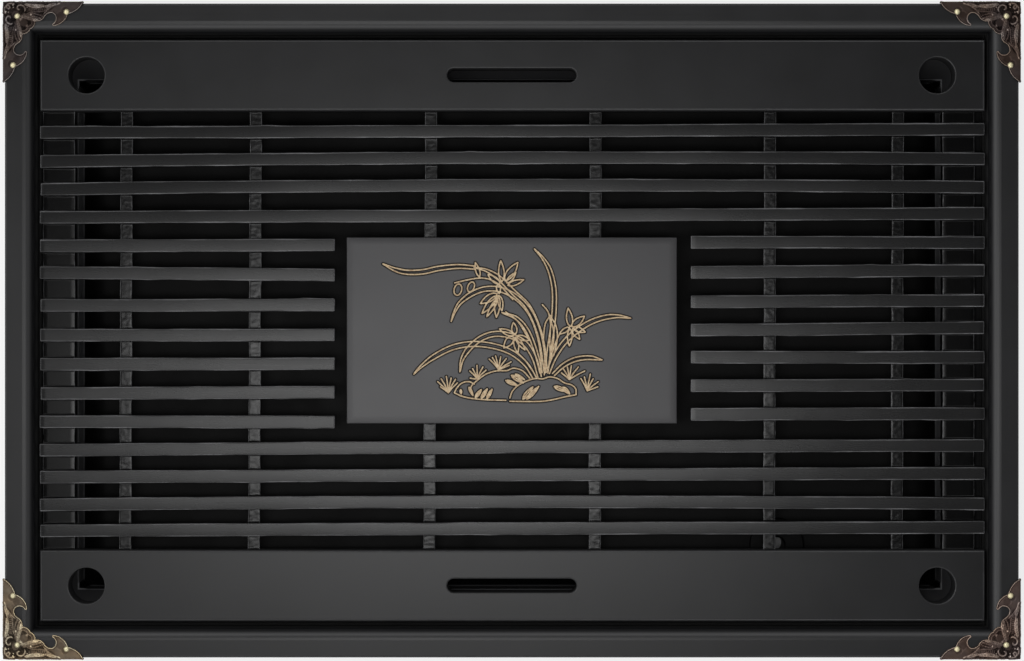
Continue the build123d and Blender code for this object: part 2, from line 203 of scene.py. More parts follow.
def axes_of(tree, output="Object"):
    """The three parts of a place on the object, in metres, or of its normal."""
    place = add(tree, "ShaderNodeTexCoord").outputs[output]
    return list(add(tree, "ShaderNodeSeparateXYZ", place).outputs)


def attribute(tree, name):
    return add(tree, "ShaderNodeAttribute", attribute_name=name).outputs["Fac"]


def object_noise(tree, stretch, scale, detail, roughness):
    """Noise over the object's own coordinates; stretch is how much each axis is drawn out."""
    place = add(tree, "ShaderNodeTexCoord").outputs["Object"]
    mapping = add(tree, "ShaderNodeMapping", place, vector_type="POINT")
    mapping.inputs["Scale"].default_value = tuple(1.0 / s for s in stretch)
    node = add(tree, "ShaderNodeTexNoise", mapping.outputs["Vector"])
    for key, value in (("Scale", scale), ("Detail", detail), ("Roughness", roughness)):
        node.inputs[key].default_value = value
    return node.outputs["Fac"]


def remap(tree, value, low, high, to_low, to_high):
    """Carries one range over to another, and holds at its ends."""
    return add(tree, "ShaderNodeMapRange", value, low, high, to_low, to_high).outputs["Result"]


def cloudy(tree, value, to_low, to_high):
    """The middle of a noise's range, where nearly all of it lies, carried over to another."""
    return remap(tree, value, 0.3, 0.7, to_low, to_high)


def inside_share(tree, level):
    """One on what lies inside the frame's opening and below a level, otherwise nought."""
    axes = axes_of(tree)
    result = remap(tree, axes[2], level - BLUR, level, 1.0, 0.0)
    for axis, half_side in zip(axes, OPENING_HALF_SIDES):
        within = remap(tree, calc(tree, "ABSOLUTE", axis), half_side - BLUR, half_side, 1.0, 0.0)
        result = calc(tree, "MULTIPLY", result, within)
    return result


def beyond_sides(tree, sides):
    """How far a place is beyond the nearest side of a rectangle; less than nought inside it."""
    return calc(tree, "MAXIMUM", *(
        calc(tree, "SUBTRACT", calc(tree, "ABSOLUTE", calc(tree, "SUBTRACT", axis, middle)), half_side)
        for axis, (middle, half_side) in zip(axes_of(tree), sides)))


def ramp(tree, value, stops):
    node = add(tree, "ShaderNodeValToRGB", value)
    elements = node.color_ramp.elements
    while len(elements) < len(stops):
        elements.new(0.5)
    for element, (place, colour) in zip(elements, stops):
        element.position = place
        element.color = (*colour, 1.0)
    return node.outputs["Color"]


def bump(tree, height, distance_mm, under=None):
    node = add(tree, "ShaderNodeBump")
    node.inputs["Strength"].default_value = 1.0
    node.inputs["Distance"].default_value = distance_mm * MM
    tree.links.new(height, node.inputs["Height"])
    if under is not None:
        tree.links.new(under, node.inputs["Normal"])
    return node.outputs["Normal"]


def surface(tree, shader, colour, rough, normal, metallic=0.0, specular=0.5):
    for key, value in (("Base Color", colour), ("Roughness", rough), ("Normal", normal),
                       ("Metallic", metallic), ("Specular IOR Level", specular)):
        feed(tree, value, shader.inputs[key])


def times(colour, *factors):
    """A colour times one number, or times a number for each of its parts."""
    return tuple(c * f for c, f in zip(colour, factors * (3 if len(factors) == 1 else 1)))


# How much a texture is drawn out along each axis
ALONG_X, ALONG_Y, EVEN = (60, 1, 1), (1, 60, 1), (1, 1, 1)
# Noise scales, in waves to the metre
CLOUDS, STREAKS, PEEL, WEAR_AND_HIGHLIGHT_PATCHES = 38.0, 650.0, 900.0, 60.0
OPENING_HALF_SIDES = (0.2416, 0.1511)
BLUR = 0.0005
# Inside the frame, below this height, the rails' colour is painted shade: near black and dull, standing in
# for the shade deep in the gap round the lid
PAINTED_SHADE_HEIGHT = 0.0565
PAINTED_GAP_SHADE, GAP_DULL_ROUGH = (0.0006, 0.0006, 0.0006), 0.85
# Paler grey of the lacquer's edges, as wear and painted highlight
WEAR_AND_HIGHLIGHT_GREY = (0.15, 0.15, 0.155)
BLACK = (0.0030, 0.0031, 0.0036)
SLAT_BLACK = (0.0018, 0.0018, 0.0020)
# The cleats' black is darker than the slats', as painted shade where they lie low between the slats
CLEAT_BLACK_PAINTED_SHADE = (0.0008, 0.0008, 0.0009)


def lacquer(name, colour, rough, spread, streak, streak_depth, peel_depth, specular=0.5,
            painted_shade_below=None, pale_marks=False, edge_rough=0.0):
    """Satin black lacquer: brushed streaks along one axis, a fine orange peel and cloudy gloss.

    Faces inside the frame below the given height are painted shade: near black and dull, for the shade
    deep in the gap round the lid. Where the attribute for pale marks is high the colour turns a paler grey,
    as edge wear and painted highlight. Rounded edges are at least as rough as edge_rough.
    """
    material, tree, shader = new_material(name)
    clouds = object_noise(tree, EVEN, CLOUDS, 4.0, 0.6)
    streaks = object_noise(tree, streak, STREAKS, 3.0, 0.6)
    peel = object_noise(tree, EVEN, PEEL, 2.0, 0.5)
    tone = ramp(tree, clouds, ((0.3, times(colour, 0.75)), (0.7, times(colour, 1.3))))
    gloss = calc(tree, "ADD", cloudy(tree, clouds, rough - spread, rough + spread),
                 cloudy(tree, streaks, -spread, spread))
    # painted shade: inside the frame and below the height, a near-black colour stands in for the shade deep
    # in the gap round the lid
    if painted_shade_below is not None:
        gap_shade = inside_share(tree, painted_shade_below)
        gloss = blend(tree, gap_shade, gloss, GAP_DULL_ROUGH, "FLOAT")
        tone = blend(tree, gap_shade, tone, PAINTED_GAP_SHADE)
    if edge_rough:
        facing_up = axes_of(tree, "Normal")[2]
        gloss = calc(tree, "MAXIMUM", gloss, remap(tree, facing_up, 0.90, 0.985, edge_rough, 0.0))
    # edges turn a paler grey where the attribute is high, as wear and painted highlight
    if pale_marks:
        patches = remap(tree, object_noise(tree, EVEN, WEAR_AND_HIGHLIGHT_PATCHES, 4.0, 0.7), 0.36, 0.62, 0.35, 1.0)
        tone = blend(tree, calc(tree, "MULTIPLY", attribute(tree, "pale_marks"), patches), tone, WEAR_AND_HIGHLIGHT_GREY)
    normal = bump(tree, streaks, streak_depth, bump(tree, peel, peel_depth))
    surface(tree, shader, tone, gloss, normal, specular=specular)
    return material


# Pan: middle and half side of the lip round its well, along x and along y
WELL_SIDES = ((-0.0010, 0.2195), (-0.0020, 0.1295))
# Its colours by distance beyond the lip, from -30 mm at 0 to 10 mm at 1: a floor painted darker as shade,
# painted shade in the zone by the wall, a painted highlight on the lip and a flange painted paler as light
PAN_ZONES_WITH_PAINTED_LIGHT = (
    (0.0, (0.0022, 0.0021, 0.0021)), (0.38, (0.0016, 0.0015, 0.0015)),  # floor, painted darker as shade
    (0.44, (0.0006, 0.0006, 0.0006)), (0.735, (0.0003, 0.0003, 0.0003)),  # dull zone by the wall, with painted shade
    (0.745, (0.13, 0.13, 0.135)), (0.753, (0.13, 0.13, 0.135)),  # painted highlight on the lip
    (0.760, (0.020, 0.020, 0.021)), (1.0, (0.026, 0.026, 0.027)),  # flange, painted paler as light
)


def pan_material():
    """Black plastic with painted light and shade: a paler flange, a painted highlight on the lip, a darker
    floor, and a dull zone of painted shade round the floor's edge.
    """
    material, tree, shader = new_material("pan_plastic")
    beyond = beyond_sides(tree, WELL_SIDES)
    zones = ramp(tree, remap(tree, beyond, -0.030, 0.010, 0.0, 1.0), PAN_ZONES_WITH_PAINTED_LIGHT)
    clouds = object_noise(tree, EVEN, CLOUDS, 4.0, 0.6)
    dull = calc(tree, "MAXIMUM", cloudy(tree, clouds, 0.42, 0.52),
                remap(tree, beyond, -0.012, -0.004, 0.45, 0.97))
    # upright walls are smooth, so that they show the dark floor and not the sky
    upright = calc(tree, "ABSOLUTE", axes_of(tree, "Normal")[2])
    gloss = calc(tree, "MINIMUM", dull, remap(tree, upright, 0.25, 0.45, 0.25, 1.0))
    peel = object_noise(tree, EVEN, PEEL, 2.0, 0.5)
    surface(tree, shader, zones, gloss, bump(tree, peel, 0.004), specular=0.10)
    return material


def metal(name, colour, rough, depth):
    material, tree, shader = new_material(name)
    pale_marks = object_noise(tree, EVEN, 420.0, 4.0, 0.6)
    tone = ramp(tree, pale_marks, ((0.35, times(colour, 0.78)), (0.65, colour)))
    gloss = cloudy(tree, pale_marks, rough * 0.7, rough * 1.3)
    surface(tree, shader, tone, gloss, bump(tree, pale_marks, depth), 1.0)
    return material


# Bronze by height of the relief, from the recesses to what stands up most
BRONZE = ((0.0, (0.010, 0.008, 0.0075)), (0.28, (0.060, 0.046, 0.042)), (0.5, (0.115, 0.092, 0.084)),
          (0.76, (0.30, 0.255, 0.225)), (1.0, (0.66, 0.60, 0.54)))
COOL_PATCH, WARM_PATCH = (1.0, 0.97, 1.0), (1.16, 1.01, 0.90)
# Each guard's colour is scaled by its own factor: the front ones lighter, the back ones darker
GUARD_SHADES = {"back_left": (0.62, 0.67, 0.70), "back_right": (0.66, 0.66, 0.65),
                "front_left": (1.62, 1.70, 1.32), "front_right": (1.02, 1.0, 0.98)}


def guard_material(name, shade):
    """Antique bronze: dark in the recesses, rubbed bright where the relief stands up."""
    material, tree, shader = new_material(name)
    mottle = object_noise(tree, EVEN, 260.0, 5.0, 0.65)
    grit = object_noise(tree, EVEN, 1500.0, 3.0, 0.6)
    patches = object_noise(tree, EVEN, 75.0, 3.0, 0.6)
    total = calc(tree, "ADD", attribute(tree, "relief"), cloudy(tree, mottle, -0.10, 0.10))
    warmth = ramp(tree, patches, ((0.38, times(shade, *COOL_PATCH)), (0.62, times(shade, *WARM_PATCH))))
    tone = blend(tree, 1.0, ramp(tree, total, BRONZE), warmth, blend_type="MULTIPLY")
    surface(tree, shader, tone, remap(tree, total, 0.1, 0.9, 0.52, 0.27), bump(tree, grit, 0.012), 1.0)
    return material


# The panel's gold, and where on the gilt attribute it ends and the painted shade next to it begins
GOLD = ((0.25, (0.30, 0.19, 0.12)), (0.5, (0.47, 0.355, 0.215)), (0.75, (0.64, 0.52, 0.36)))
GOLD_EDGE, PAINTED_SHADE_EDGE = (0.68, 0.75), (0.08, 0.28)
# Brown-black of the painted shade next to the gold lines
PAINTED_GROOVE_SHADE = (0.0012, 0.0007, 0.0004)


def panel_material():
    """The panel's lacquer, with gold in the engraved lines and, next to them, a dull dark band of painted
    shade.
    """
    material, tree, shader = new_material("panel_lacquer")
    gilt = attribute(tree, "gilt")
    clouds = object_noise(tree, EVEN, 30.0, 4.0, 0.6)
    peel = object_noise(tree, EVEN, PEEL, 2.0, 0.5)
    wear = object_noise(tree, EVEN, 700.0, 4.0, 0.7)
    black = ramp(tree, clouds, ((0.3, (0.0195, 0.0190, 0.0206)), (0.7, (0.0240, 0.0234, 0.0252))))
    # painted shade: a dark, dull band next to each gold line
    painted_shade_band = remap(tree, gilt, *PAINTED_SHADE_EDGE, 0.0, 1.0)
    tone = blend(tree, remap(tree, gilt, *GOLD_EDGE, 0.0, 1.0), blend(tree, painted_shade_band, black, PAINTED_GROOVE_SHADE),
                 ramp(tree, wear, GOLD))
    gloss = blend(tree, painted_shade_band, cloudy(tree, clouds, 0.32, 0.36), 0.9, "FLOAT")
    surface(tree, shader, tone, gloss, bump(tree, peel, 0.003))
    return material


rail_x_lacquer = lacquer("rail_lacquer_long", BLACK, 0.355, 0.010, ALONG_X, 0.0004, 0.002,
                         painted_shade_below=PAINTED_SHADE_HEIGHT)
rail_y_lacquer = lacquer("rail_lacquer_short", BLACK, 0.355, 0.010, ALONG_Y, 0.0004, 0.002,
                         painted_shade_below=PAINTED_SHADE_HEIGHT)
board_lacquer = lacquer("board_lacquer", BLACK, 0.315, 0.008, EVEN, 0.0004, 0.003, pale_marks=True,
                        edge_rough=0.6)
slat_lacquer = lacquer("slat_lacquer", SLAT_BLACK, 0.275, 0.004, ALONG_X, 0.0003, 0.003, pale_marks=True)
batten_lacquer = lacquer("batten_lacquer", SLAT_BLACK, 0.235, 0.03, EVEN, 0.002, 0.004, 0.40, pale_marks=True)
cleat_lacquer = lacquer("cleat_lacquer", CLEAT_BLACK_PAINTED_SHADE, 0.20, 0.01, EVEN, 0.0005, 0.003, 0.3, pale_marks=True)
base_lacquer = lacquer("base_lacquer", (0.016, 0.015, 0.0145), 0.62, 0.05, ALONG_X, 0.015, 0.012, 0.35)
ledge_lacquer = lacquer("ledge_lacquer", (0.004, 0.004, 0.0043), 0.60, 0.05, EVEN, 0.015, 0.010, 0.2)
drain_plastic = lacquer("drain_plastic", (0.0012, 0.0012, 0.0013), 0.45, 0.04, EVEN, 0.002, 0.003, 0.09)
foot_rubber = lacquer("foot_rubber", (0.014, 0.014, 0.014), 0.8, 0.05, EVEN, 0.02, 0.02, 0.3)
pan_plastic = pan_material()
nail_brass = metal("nail_brass", (0.83, 0.76, 0.50), 0.50, 0.003)
screw_steel = metal("screw_steel", (0.60, 0.60, 0.58), 0.32, 0.006)
guard_bronzes = {place: guard_material("guard_bronze_" + place, shade)
                 for place, shade in GUARD_SHADES.items()}
panel_lacquer = panel_material()

# How a node's name starts, and its material; the first that fits counts
MATERIALS = (
    ("rail_front", rail_x_lacquer), ("rail_back", rail_x_lacquer), ("rail_", rail_y_lacquer),
    ("lid_board", board_lacquer), ("long_slat", slat_lacquer), ("short_slat", slat_lacquer),
    ("end_cleat", cleat_lacquer), ("batten", batten_lacquer), ("ledge_screws", screw_steel),
    ("foot_screws", screw_steel), ("base_screws", screw_steel), ("ledge_", ledge_lacquer),
    ("base_board", base_lacquer), ("water_pan", pan_plastic), ("drain_gasket", foot_rubber),
    ("drain_", drain_plastic), ("guard_nails", nail_brass), ("foot_", foot_rubber),
    ("centre_panel", panel_lacquer),
    *(("corner_guard_" + place, bronze) for place, bronze in guard_bronzes.items()),
)


def material_for(name):
    return next(material for start, material in MATERIALS if name.startswith(start))


for node_name, node in nodes.items():
    node.data.materials.clear()
    node.data.materials.append(material_for(node_name))


# Corner guards
LEG = 40.7
SHEET = 0.8
BEND_RADIUS = 0.5
WALL_CLEARANCE = 0.02
MERGE, SLIVER = 0.004, 0.003
FRAME_CORNER = (255.0, 164.5, 62.0)
# The cut edge of a leg, in shares of its length: its tip, and arcs from there to the diagonal, each
# as a place that it passes through and the place where it stops
GUARD_TIP = (1.0, 0.0)
GUARD_ARCS = (
    ((0.925, 0.098), (0.805, 0.155)),
    ((0.742, 0.255), (0.635, 0.302)),
    ((0.612, 0.292), (0.618, 0.270)),
    ((0.655, 0.200), (0.610, 0.142)),
    ((0.560, 0.150), (0.515, 0.195)),
    ((0.470, 0.236), (0.405, 0.245)),
    ((0.390, 0.303), (0.342, 0.342)),
)
NAIL_SPOTS = ((0.767, 0.108), (0.713, 0.167), (0.16, 0.16), (0.26, 0.26))
PAD_RADIUS = 1.55
EDGE_STEP = 0.3
GRID_STEP = 0.26
# Rows of points that follow the cut edge, by their distance from it
RIM_ROWS = (0.13, 0.26, 0.40, 0.58, 0.80)


def cut_edge():
    """Half of the guard's cut edge, from the tip to the diagonal, in millimetres."""
    points = [(LEG * GUARD_TIP[0], LEG * GUARD_TIP[1])]
    for through, stop in GUARD_ARCS:
        a, b, c = points[-1], (LEG * through[0], LEG * through[1]), (LEG * stop[0], LEG * stop[1])
        length = math.dist(a, b) + math.dist(b, c)
        points += arc_points(a, b, c, max(3, int(length / EDGE_STEP)))
    return points


HALF_EDGE = cut_edge()
FULL_EDGE = HALF_EDGE + [(b, a) for a, b in reversed(HALF_EDGE[:-1])]

# Ornament of one leg, as (along the leg, in from the bend); each is drawn on both legs
RIDGES = (
    # line, half width, height
    (((29.0, 0.7), (26.6, 1.6), (24.4, 2.7), (22.2, 4.4), (20.6, 6.0)), 0.42, 0.30),
    (((27.0, 0.9), (25.0, 1.9), (23.2, 2.9), (21.6, 4.2), (20.2, 4.9), (17.2, 5.1), (14.2, 5.3),
      (12.2, 6.0)), 0.38, 0.26),
    (((28.6, 0.55), (22.0, 0.55), (14.0, 0.55), (6.0, 0.6)), 0.34, 0.14),
    (((10.9, 5.2), (11.3, 3.7), (10.4, 2.2), (8.7, 1.7), (7.4, 2.5), (7.5, 3.7), (8.5, 4.1)), 0.52, 0.42),
    (((6.2, 1.5), (4.9, 0.95), (3.3, 1.0), (2.2, 1.7), (1.9, 2.8), (2.9, 3.6), (3.9, 3.2)), 0.50, 0.40),
    (((9.9, 6.2), (12.6, 6.4), (15.4, 6.1), (18.2, 6.6), (20.0, 7.6)), 0.36, 0.26),
)
LEAVES = (
    # centre line, half width, height
    (((26.6, 1.25), (24.4, 1.75), (22.6, 2.3), (21.0, 2.4)), 0.95, 0.46),
    (((20.4, 2.1), (18.0, 2.3), (15.2, 2.2), (12.6, 1.7), (11.4, 1.5)), 1.25, 0.52),
    (((9.2, 7.4), (11.6, 8.0), (14.6, 8.8), (17.6, 9.1)), 0.95, 0.44),
    (((9.6, 6.9), (12.4, 7.4), (16.2, 7.7), (19.2, 8.5)), 0.62, 0.36),
    (((8.8, 8.8), (10.4, 10.4), (12.3, 12.3)), 1.15, 0.46),
)
BEADS = (((14.2, 6.6), 0.50), ((12.3, 2.9), 0.42), ((16.2, 2.6), 0.42), ((20.5, 2.6), 0.42),
         ((1.7, 5.2), 0.55), ((5.4, 2.9), 0.45))
RIB_RADII = (3.0, 3.9, 4.8)
RIB_CENTRE = (6.6, 6.6)
RIB_HEIGHT, RIB_HALF, RIB_SPREAD = 0.26, 0.36, 33
# The ornament ends this far along the leg, and this far in from the cut edge
ORNAMENT_LENGTH, ORNAMENT_INSET = 28.6, 1.15
GROUND_DEPTH, LEAF_RISE, GRAIN_HEIGHT = 0.14, 0.10, 0.13
RIM_HEIGHT, RIM_HALF, RIM_PLACE = 0.34, 0.34, 0.26
# A second, fainter rim runs inside the first, near the diagonal
SECOND_HEIGHT, SECOND_PLACE, SECOND_REACH = 0.26, 1.75, 11.2
# A row of teeth: its span along the leg, and how far in from the bend it starts and stops
TOOTH_HEIGHT, TOOTH_PITCH = 0.24, 0.95
TEETH_SPAN, TEETH_INSET = (12.6, 23.0), (3.05, 4.7)


def guard_relief(points):
    """Height of the relief over the guard's plain face, in millimetres, at points on one face."""
    p = np.asarray(points, float)
    swapped = p[:, ::-1]
    edge, _ = line_distance(p, FULL_EDGE)
    bend = p.min(axis=1)
    reach = p.sum(axis=1)
    height = np.zeros(len(p))
    # ground of the ornament is sunk a little; the leaves at the ends stay plain and slightly full
    along = p.max(axis=1)
    ornament = 1 / (1 + np.exp((along - ORNAMENT_LENGTH + 0.95 * bend) / 0.35))
    ornament *= unit((edge - ORNAMENT_INSET) / 0.3)
    height -= GROUND_DEPTH * ornament
    height += LEAF_RISE * (1 - ornament) * unit(edge / 2.6)
    raised = np.zeros(len(p))
    for q in (p, swapped):
        for line, half, top in RIDGES:
            d, t = line_distance(q, smooth_line(line, 0.5))
            taper = unit(np.minimum(t, 1 - t) * 9 + 0.35)
            raised = np.maximum(raised, top * hump(d, half * taper) ** 0.8)
        for line, half, top in LEAVES:
            d, t = line_distance(q, smooth_line(line, 0.5))
            wide = half * (0.25 + 0.75 * np.sin(math.pi * unit(0.12 + 0.82 * t)) ** 0.7)
            body = top * hump(d, wide) ** 0.6
            body *= 1 - 0.45 * np.exp(-(d / 0.16) ** 2)
            body *= 1 - 0.22 * (0.5 + 0.5 * np.cos(t * 2 * math.pi * 6)) * unit(d / wide)
            raised = np.maximum(raised, body)
        for (u, v), radius in BEADS:
            d = np.hypot(q[:, 0] - u, q[:, 1] - v)
            raised = np.maximum(raised, 1.15 * radius * np.sqrt(hump(d, radius)))
        teeth = TOOTH_HEIGHT * (0.5 + 0.5 * np.cos(2 * math.pi * q[:, 0] / TOOTH_PITCH))
        teeth *= unit((q[:, 0] - TEETH_SPAN[0]) / 0.5)
        teeth *= unit((TEETH_SPAN[1] - q[:, 0]) / 0.8)
        limit = np.minimum(TEETH_INSET[1], TEETH_INSET[1] - (q[:, 0] - 20.6) * 0.75)
        teeth *= unit((q[:, 1] - TEETH_INSET[0]) / 0.25)
        teeth *= unit((limit - q[:, 1]) / 0.25)
        raised = np.maximum(raised, teeth)
    nail = np.hypot(p[:, 0] - RIB_CENTRE[0], p[:, 1] - RIB_CENTRE[1])
    angle = np.degrees(np.arctan2(p[:, 1] - RIB_CENTRE[1], p[:, 0] - RIB_CENTRE[0]))
    fan = unit((RIB_SPREAD - np.abs(angle - 45)) / 6)
    for radius in RIB_RADII:
        raised = np.maximum(raised, RIB_HEIGHT * fan * hump(nail - radius, RIB_HALF))
    second = SECOND_HEIGHT * unit(SECOND_REACH - np.abs(p[:, 0] - p[:, 1]))
    raised = np.maximum(raised, second * hump(edge - SECOND_PLACE, RIM_HALF))
    height += raised
    grain = np.array([noise.noise(Vector((u * 1.9, v * 1.9, 0.7))) for u, v in p])
    grain += 0.6 * np.array([noise.noise(Vector((u * 3.4, v * 3.4, 4.2))) for u, v in p])
    height += GRAIN_HEIGHT * grain * ornament
    rim = RIM_HEIGHT * hump(edge - RIM_PLACE, RIM_HALF)
    height += rim - 0.10 * np.exp(-((edge - 0.80) / 0.16) ** 2)
    # plain pads under the nail heads, and level ground where the sheet bends
    for spot in NAIL_SPOTS:
        for u, v in (spot, spot[::-1]):
            d = np.hypot(p[:, 0] - LEG * u, p[:, 1] - LEG * v)
            height *= unit((d - PAD_RADIUS) / 0.5)
    height *= np.clip(bend / 0.9, 0.15, 1)
    height *= np.clip(reach / 2.2, 0.2, 1)
    return height


def triangles(points, border_count):
    """Fills the border, which the first points make, with triangles over all the points."""
    made = delaunay_2d_cdt([Vector(q) for q in points], [], [list(range(border_count))], 1, 1e-6)
    return np.array([tuple(v) for v in made[0]]), [list(f) for f in made[2]]


def inside_ring(points, ring):
    """Which points lie in an outline: a ray from them to +x crosses it an odd number of times."""
    inside = np.zeros(len(points), bool)
    for (ax, ay), (bx, by) in zip(ring, np.roll(ring, -1, axis=0)):
        if ay == by:
            continue
        crosses = (ay > points[:, 1]) != (by > points[:, 1])
        x = ax + (points[:, 1] - ay) * (bx - ax) / (by - ay)
        inside ^= crosses & (x > points[:, 0])
    return inside


def guard_net():
    """Points and triangles of one face: rows that follow the cut edge, then an even grid."""
    outline = [(0.0, 0.0)]
    count = int(LEG / EDGE_STEP)
    outline += [(LEG * k / count, 0.0) for k in range(1, count)]
    outline += FULL_EDGE
    outline += [(0.0, LEG * k / count) for k in range(count - 1, 0, -1)]
    edge = np.array(FULL_EDGE)
    inward = left_of(edge)
    inner = []
    for row in RIM_ROWS:
        rows = edge + inward * row
        d, _ = line_distance(rows, edge)
        keep = (d > row - 0.03) & (rows.min(axis=1) > 0.12)
        inner += [tuple(q) for q in rows[keep]]
    steps = np.arange(GRID_STEP, LEG, GRID_STEP)
    gx, gy = np.meshgrid(steps, steps)
    grid = np.stack([gx.ravel(), gy.ravel()], axis=1)
    near, _ = line_distance(grid, edge)
    grid = grid[near > RIM_ROWS[-1] + 0.14]
    ring = np.array(outline)
    grid = grid[inside_ring(grid, ring)]
    inner = np.array(inner)
    inner = inner[inside_ring(inner, ring)]
    points = outline + [tuple(q) for q in inner] + [tuple(q) for q in grid]
    return triangles(points, len(outline))


NET_POINTS, NET_FACES = guard_net()
NET_HEIGHT = guard_relief(NET_POINTS)


def net_border():
    """Edges of the net that only one of its faces uses."""
    seen = {}
    for face in NET_FACES:
        for a, b in zip(face, face[1:] + face[:1]):
            key = (min(a, b), max(a, b))
            seen[key] = seen.get(key, 0) + 1
    return [key for key, uses in seen.items() if uses == 1]


# Of these, the ones that don't lie on a bend
CUT_BORDER = [
    (a, b) for a, b in net_border()
    if not (NET_POINTS[a].min() < 1e-6 and NET_POINTS[b].min() < 1e-6)
]


def rounded(flat, radius, lift):
    """Moves points of the sharp corner's faces on to the rounded one, lifted along its normal."""
    inner = np.maximum(flat, radius)
    away = flat - inner
    away /= np.linalg.norm(away, axis=1)[:, None]
    return inner + away * (radius + lift)[:, None]


# The relief attribute goes from 0 to 1 over this range of heights
RELIEF_LOWEST, RELIEF_SPAN = -0.16, 0.62


def make_guard(name, end, side):
    corner = (np.array(FRAME_CORNER) + SHEET) * (end, side, 1)
    signs = np.array([-end, -side, -1.0])
    verts, faces, relief = [], [], []
    zero = np.zeros(len(NET_POINTS))
    # axes of each face: which axis the first and the second coordinate run along
    for first, second in ((0, 1), (1, 2), (2, 0)):
        flat = np.zeros((len(NET_POINTS), 3))
        flat[:, first] = NET_POINTS[:, 0]
        flat[:, second] = NET_POINTS[:, 1]
        outer = rounded(flat, BEND_RADIUS, NET_HEIGHT)
        inner = np.maximum(flat, SHEET - WALL_CLEARANCE)
        start = len(verts)
        n = len(NET_POINTS)
        verts += [tuple(q) for q in outer] + [tuple(q) for q in inner]
        relief += list(NET_HEIGHT) + list(zero)
        faces += [[start + i for i in face] for face in NET_FACES]
        faces += [[start + n + i for i in reversed(face)] for face in NET_FACES]
        faces += [[start + a, start + b, start + n + b, start + n + a] for a, b in CUT_BORDER]
    place = (corner + np.array(verts) * signs) * MM
    mesh = bpy.data.meshes.new(name)
    mesh.from_pydata([tuple(q) for q in place], [], faces)
    set_attribute(mesh, "relief", unit((np.array(relief) - RELIEF_LOWEST) / RELIEF_SPAN))
    face_outward(mesh, MERGE, SLIVER)
    smooth(mesh, 60)
    mesh.materials.append(material_for(name))
    obj = link(name + "_relief", mesh)
    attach(obj, "frame")
    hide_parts(name)


for side_name, guard_side in (("front", -1), ("back", 1)):
    for end_name, guard_end in (("left", -1), ("right", 1)):
        make_guard(f"corner_guard_{side_name}_{end_name}", guard_end, guard_side)


# The motif is an orchid growing from rocks, in lines about a millimetre apart. Its unit is a
# millimetre, with the origin at the motif's upper left corner and the second number downwards.
MOTIF_X, MOTIF_Y = -69.0, 45.6

BLADES = (
    # centre line from base to tip, half width
    (((84.5, 68), (84.5, 58), (82.5, 47), (78.5, 37), (72, 29.5), (64, 25.2), (56, 24.6), (49, 27),
      (43, 31.5), (40, 36.5), (38.4, 41)), 1.2),
    (((86.0, 66), (84.6, 54), (82.0, 44), (77, 33.5), (70, 26.5), (63, 19.5), (56.5, 15.4),
      (50, 13.8)), 1.2),
    (((50.5, 13.9), (42, 13.3), (32, 14.3), (24, 16), (16, 16.2), (10, 14.8), (4, 12)), 1.1),
    (((86.5, 67), (87.8, 55), (89.5, 44), (90.4, 34), (90.2, 24), (88, 15), (84.5, 9), (80.4, 4.5)), 1.0),
    (((87.2, 67), (90.5, 59), (95.5, 51.5), (101.5, 46), (108, 41.8), (115, 39.2), (122, 38.4),
      (129, 39.4)), 1.15),
    (((90, 67.8), (95, 63.2), (101, 60.2), (108, 59.3), (114.5, 60.4)), 1.0),
    (((83, 69), (80.5, 60), (76, 52.5), (69, 48.5), (61, 47.3), (54, 49.3), (48, 54), (44, 60),
      (42.8, 66.5)), 1.25),
    (((80.5, 69.5), (76, 62.5), (68.5, 56.5), (59, 53.3), (49, 52.4), (39, 54.2), (29.5, 59), (23, 64),
      (19.6, 67.6)), 1.25),
    (((83.8, 67), (81, 56), (77, 46), (71.5, 39.5), (64, 36.6)), 0.8),
    (((87.4, 60), (86.6, 52), (87, 44), (88.4, 38)), 1.6),
    (((89.5, 58), (91, 50), (90.6, 44), (88.4, 38.6)), 0.9),
)
PETALS = (
    # base, tip, half width
    ((52.7, 18.6), (50.6, 11.4), 1.0), ((64, 21), (63.4, 10.4), 1.4), ((65.5, 20.4), (72, 11.3), 1.9),
    ((67, 22.8), (75, 20), 1.2), ((66.4, 21.6), (71, 16.4), 1.1), ((63, 22), (57, 17.4), 1.3),
    ((62, 22.4), (62.6, 27), 1.0),
    ((61.5, 27), (53.2, 32), 1.7), ((61.5, 28), (54, 37), 1.5), ((62, 28), (61.2, 39), 1.4),
    ((62.6, 28), (64, 35.6), 1.2), ((61.5, 30), (56.4, 38.6), 1.0),
    ((70.6, 47.5), (69.8, 41.6), 1.3), ((70, 48), (62.8, 44.8), 1.3), ((69.6, 48.6), (65, 54.4), 1.8),
    ((70.6, 49), (72, 57), 1.2), ((71.5, 48.5), (78, 50.4), 1.2), ((71, 49), (75.6, 55.4), 1.0),
    ((98.6, 43.6), (97.4, 34.4), 1.5), ((99.2, 43.6), (105.6, 38.4), 1.6), ((100, 44.2), (106, 46.4), 1.2),
    ((99.6, 44.6), (103.2, 50), 1.2), ((98.4, 44.8), (98, 53.4), 1.2), ((98, 44), (93, 47.4), 1.0),
)
OVALS = (
    # centre, half width, half height, lean in degrees
    ((41.8, 25), 1.9, 2.9, 14), ((48.4, 23.6), 1.6, 2.6, 24),
)
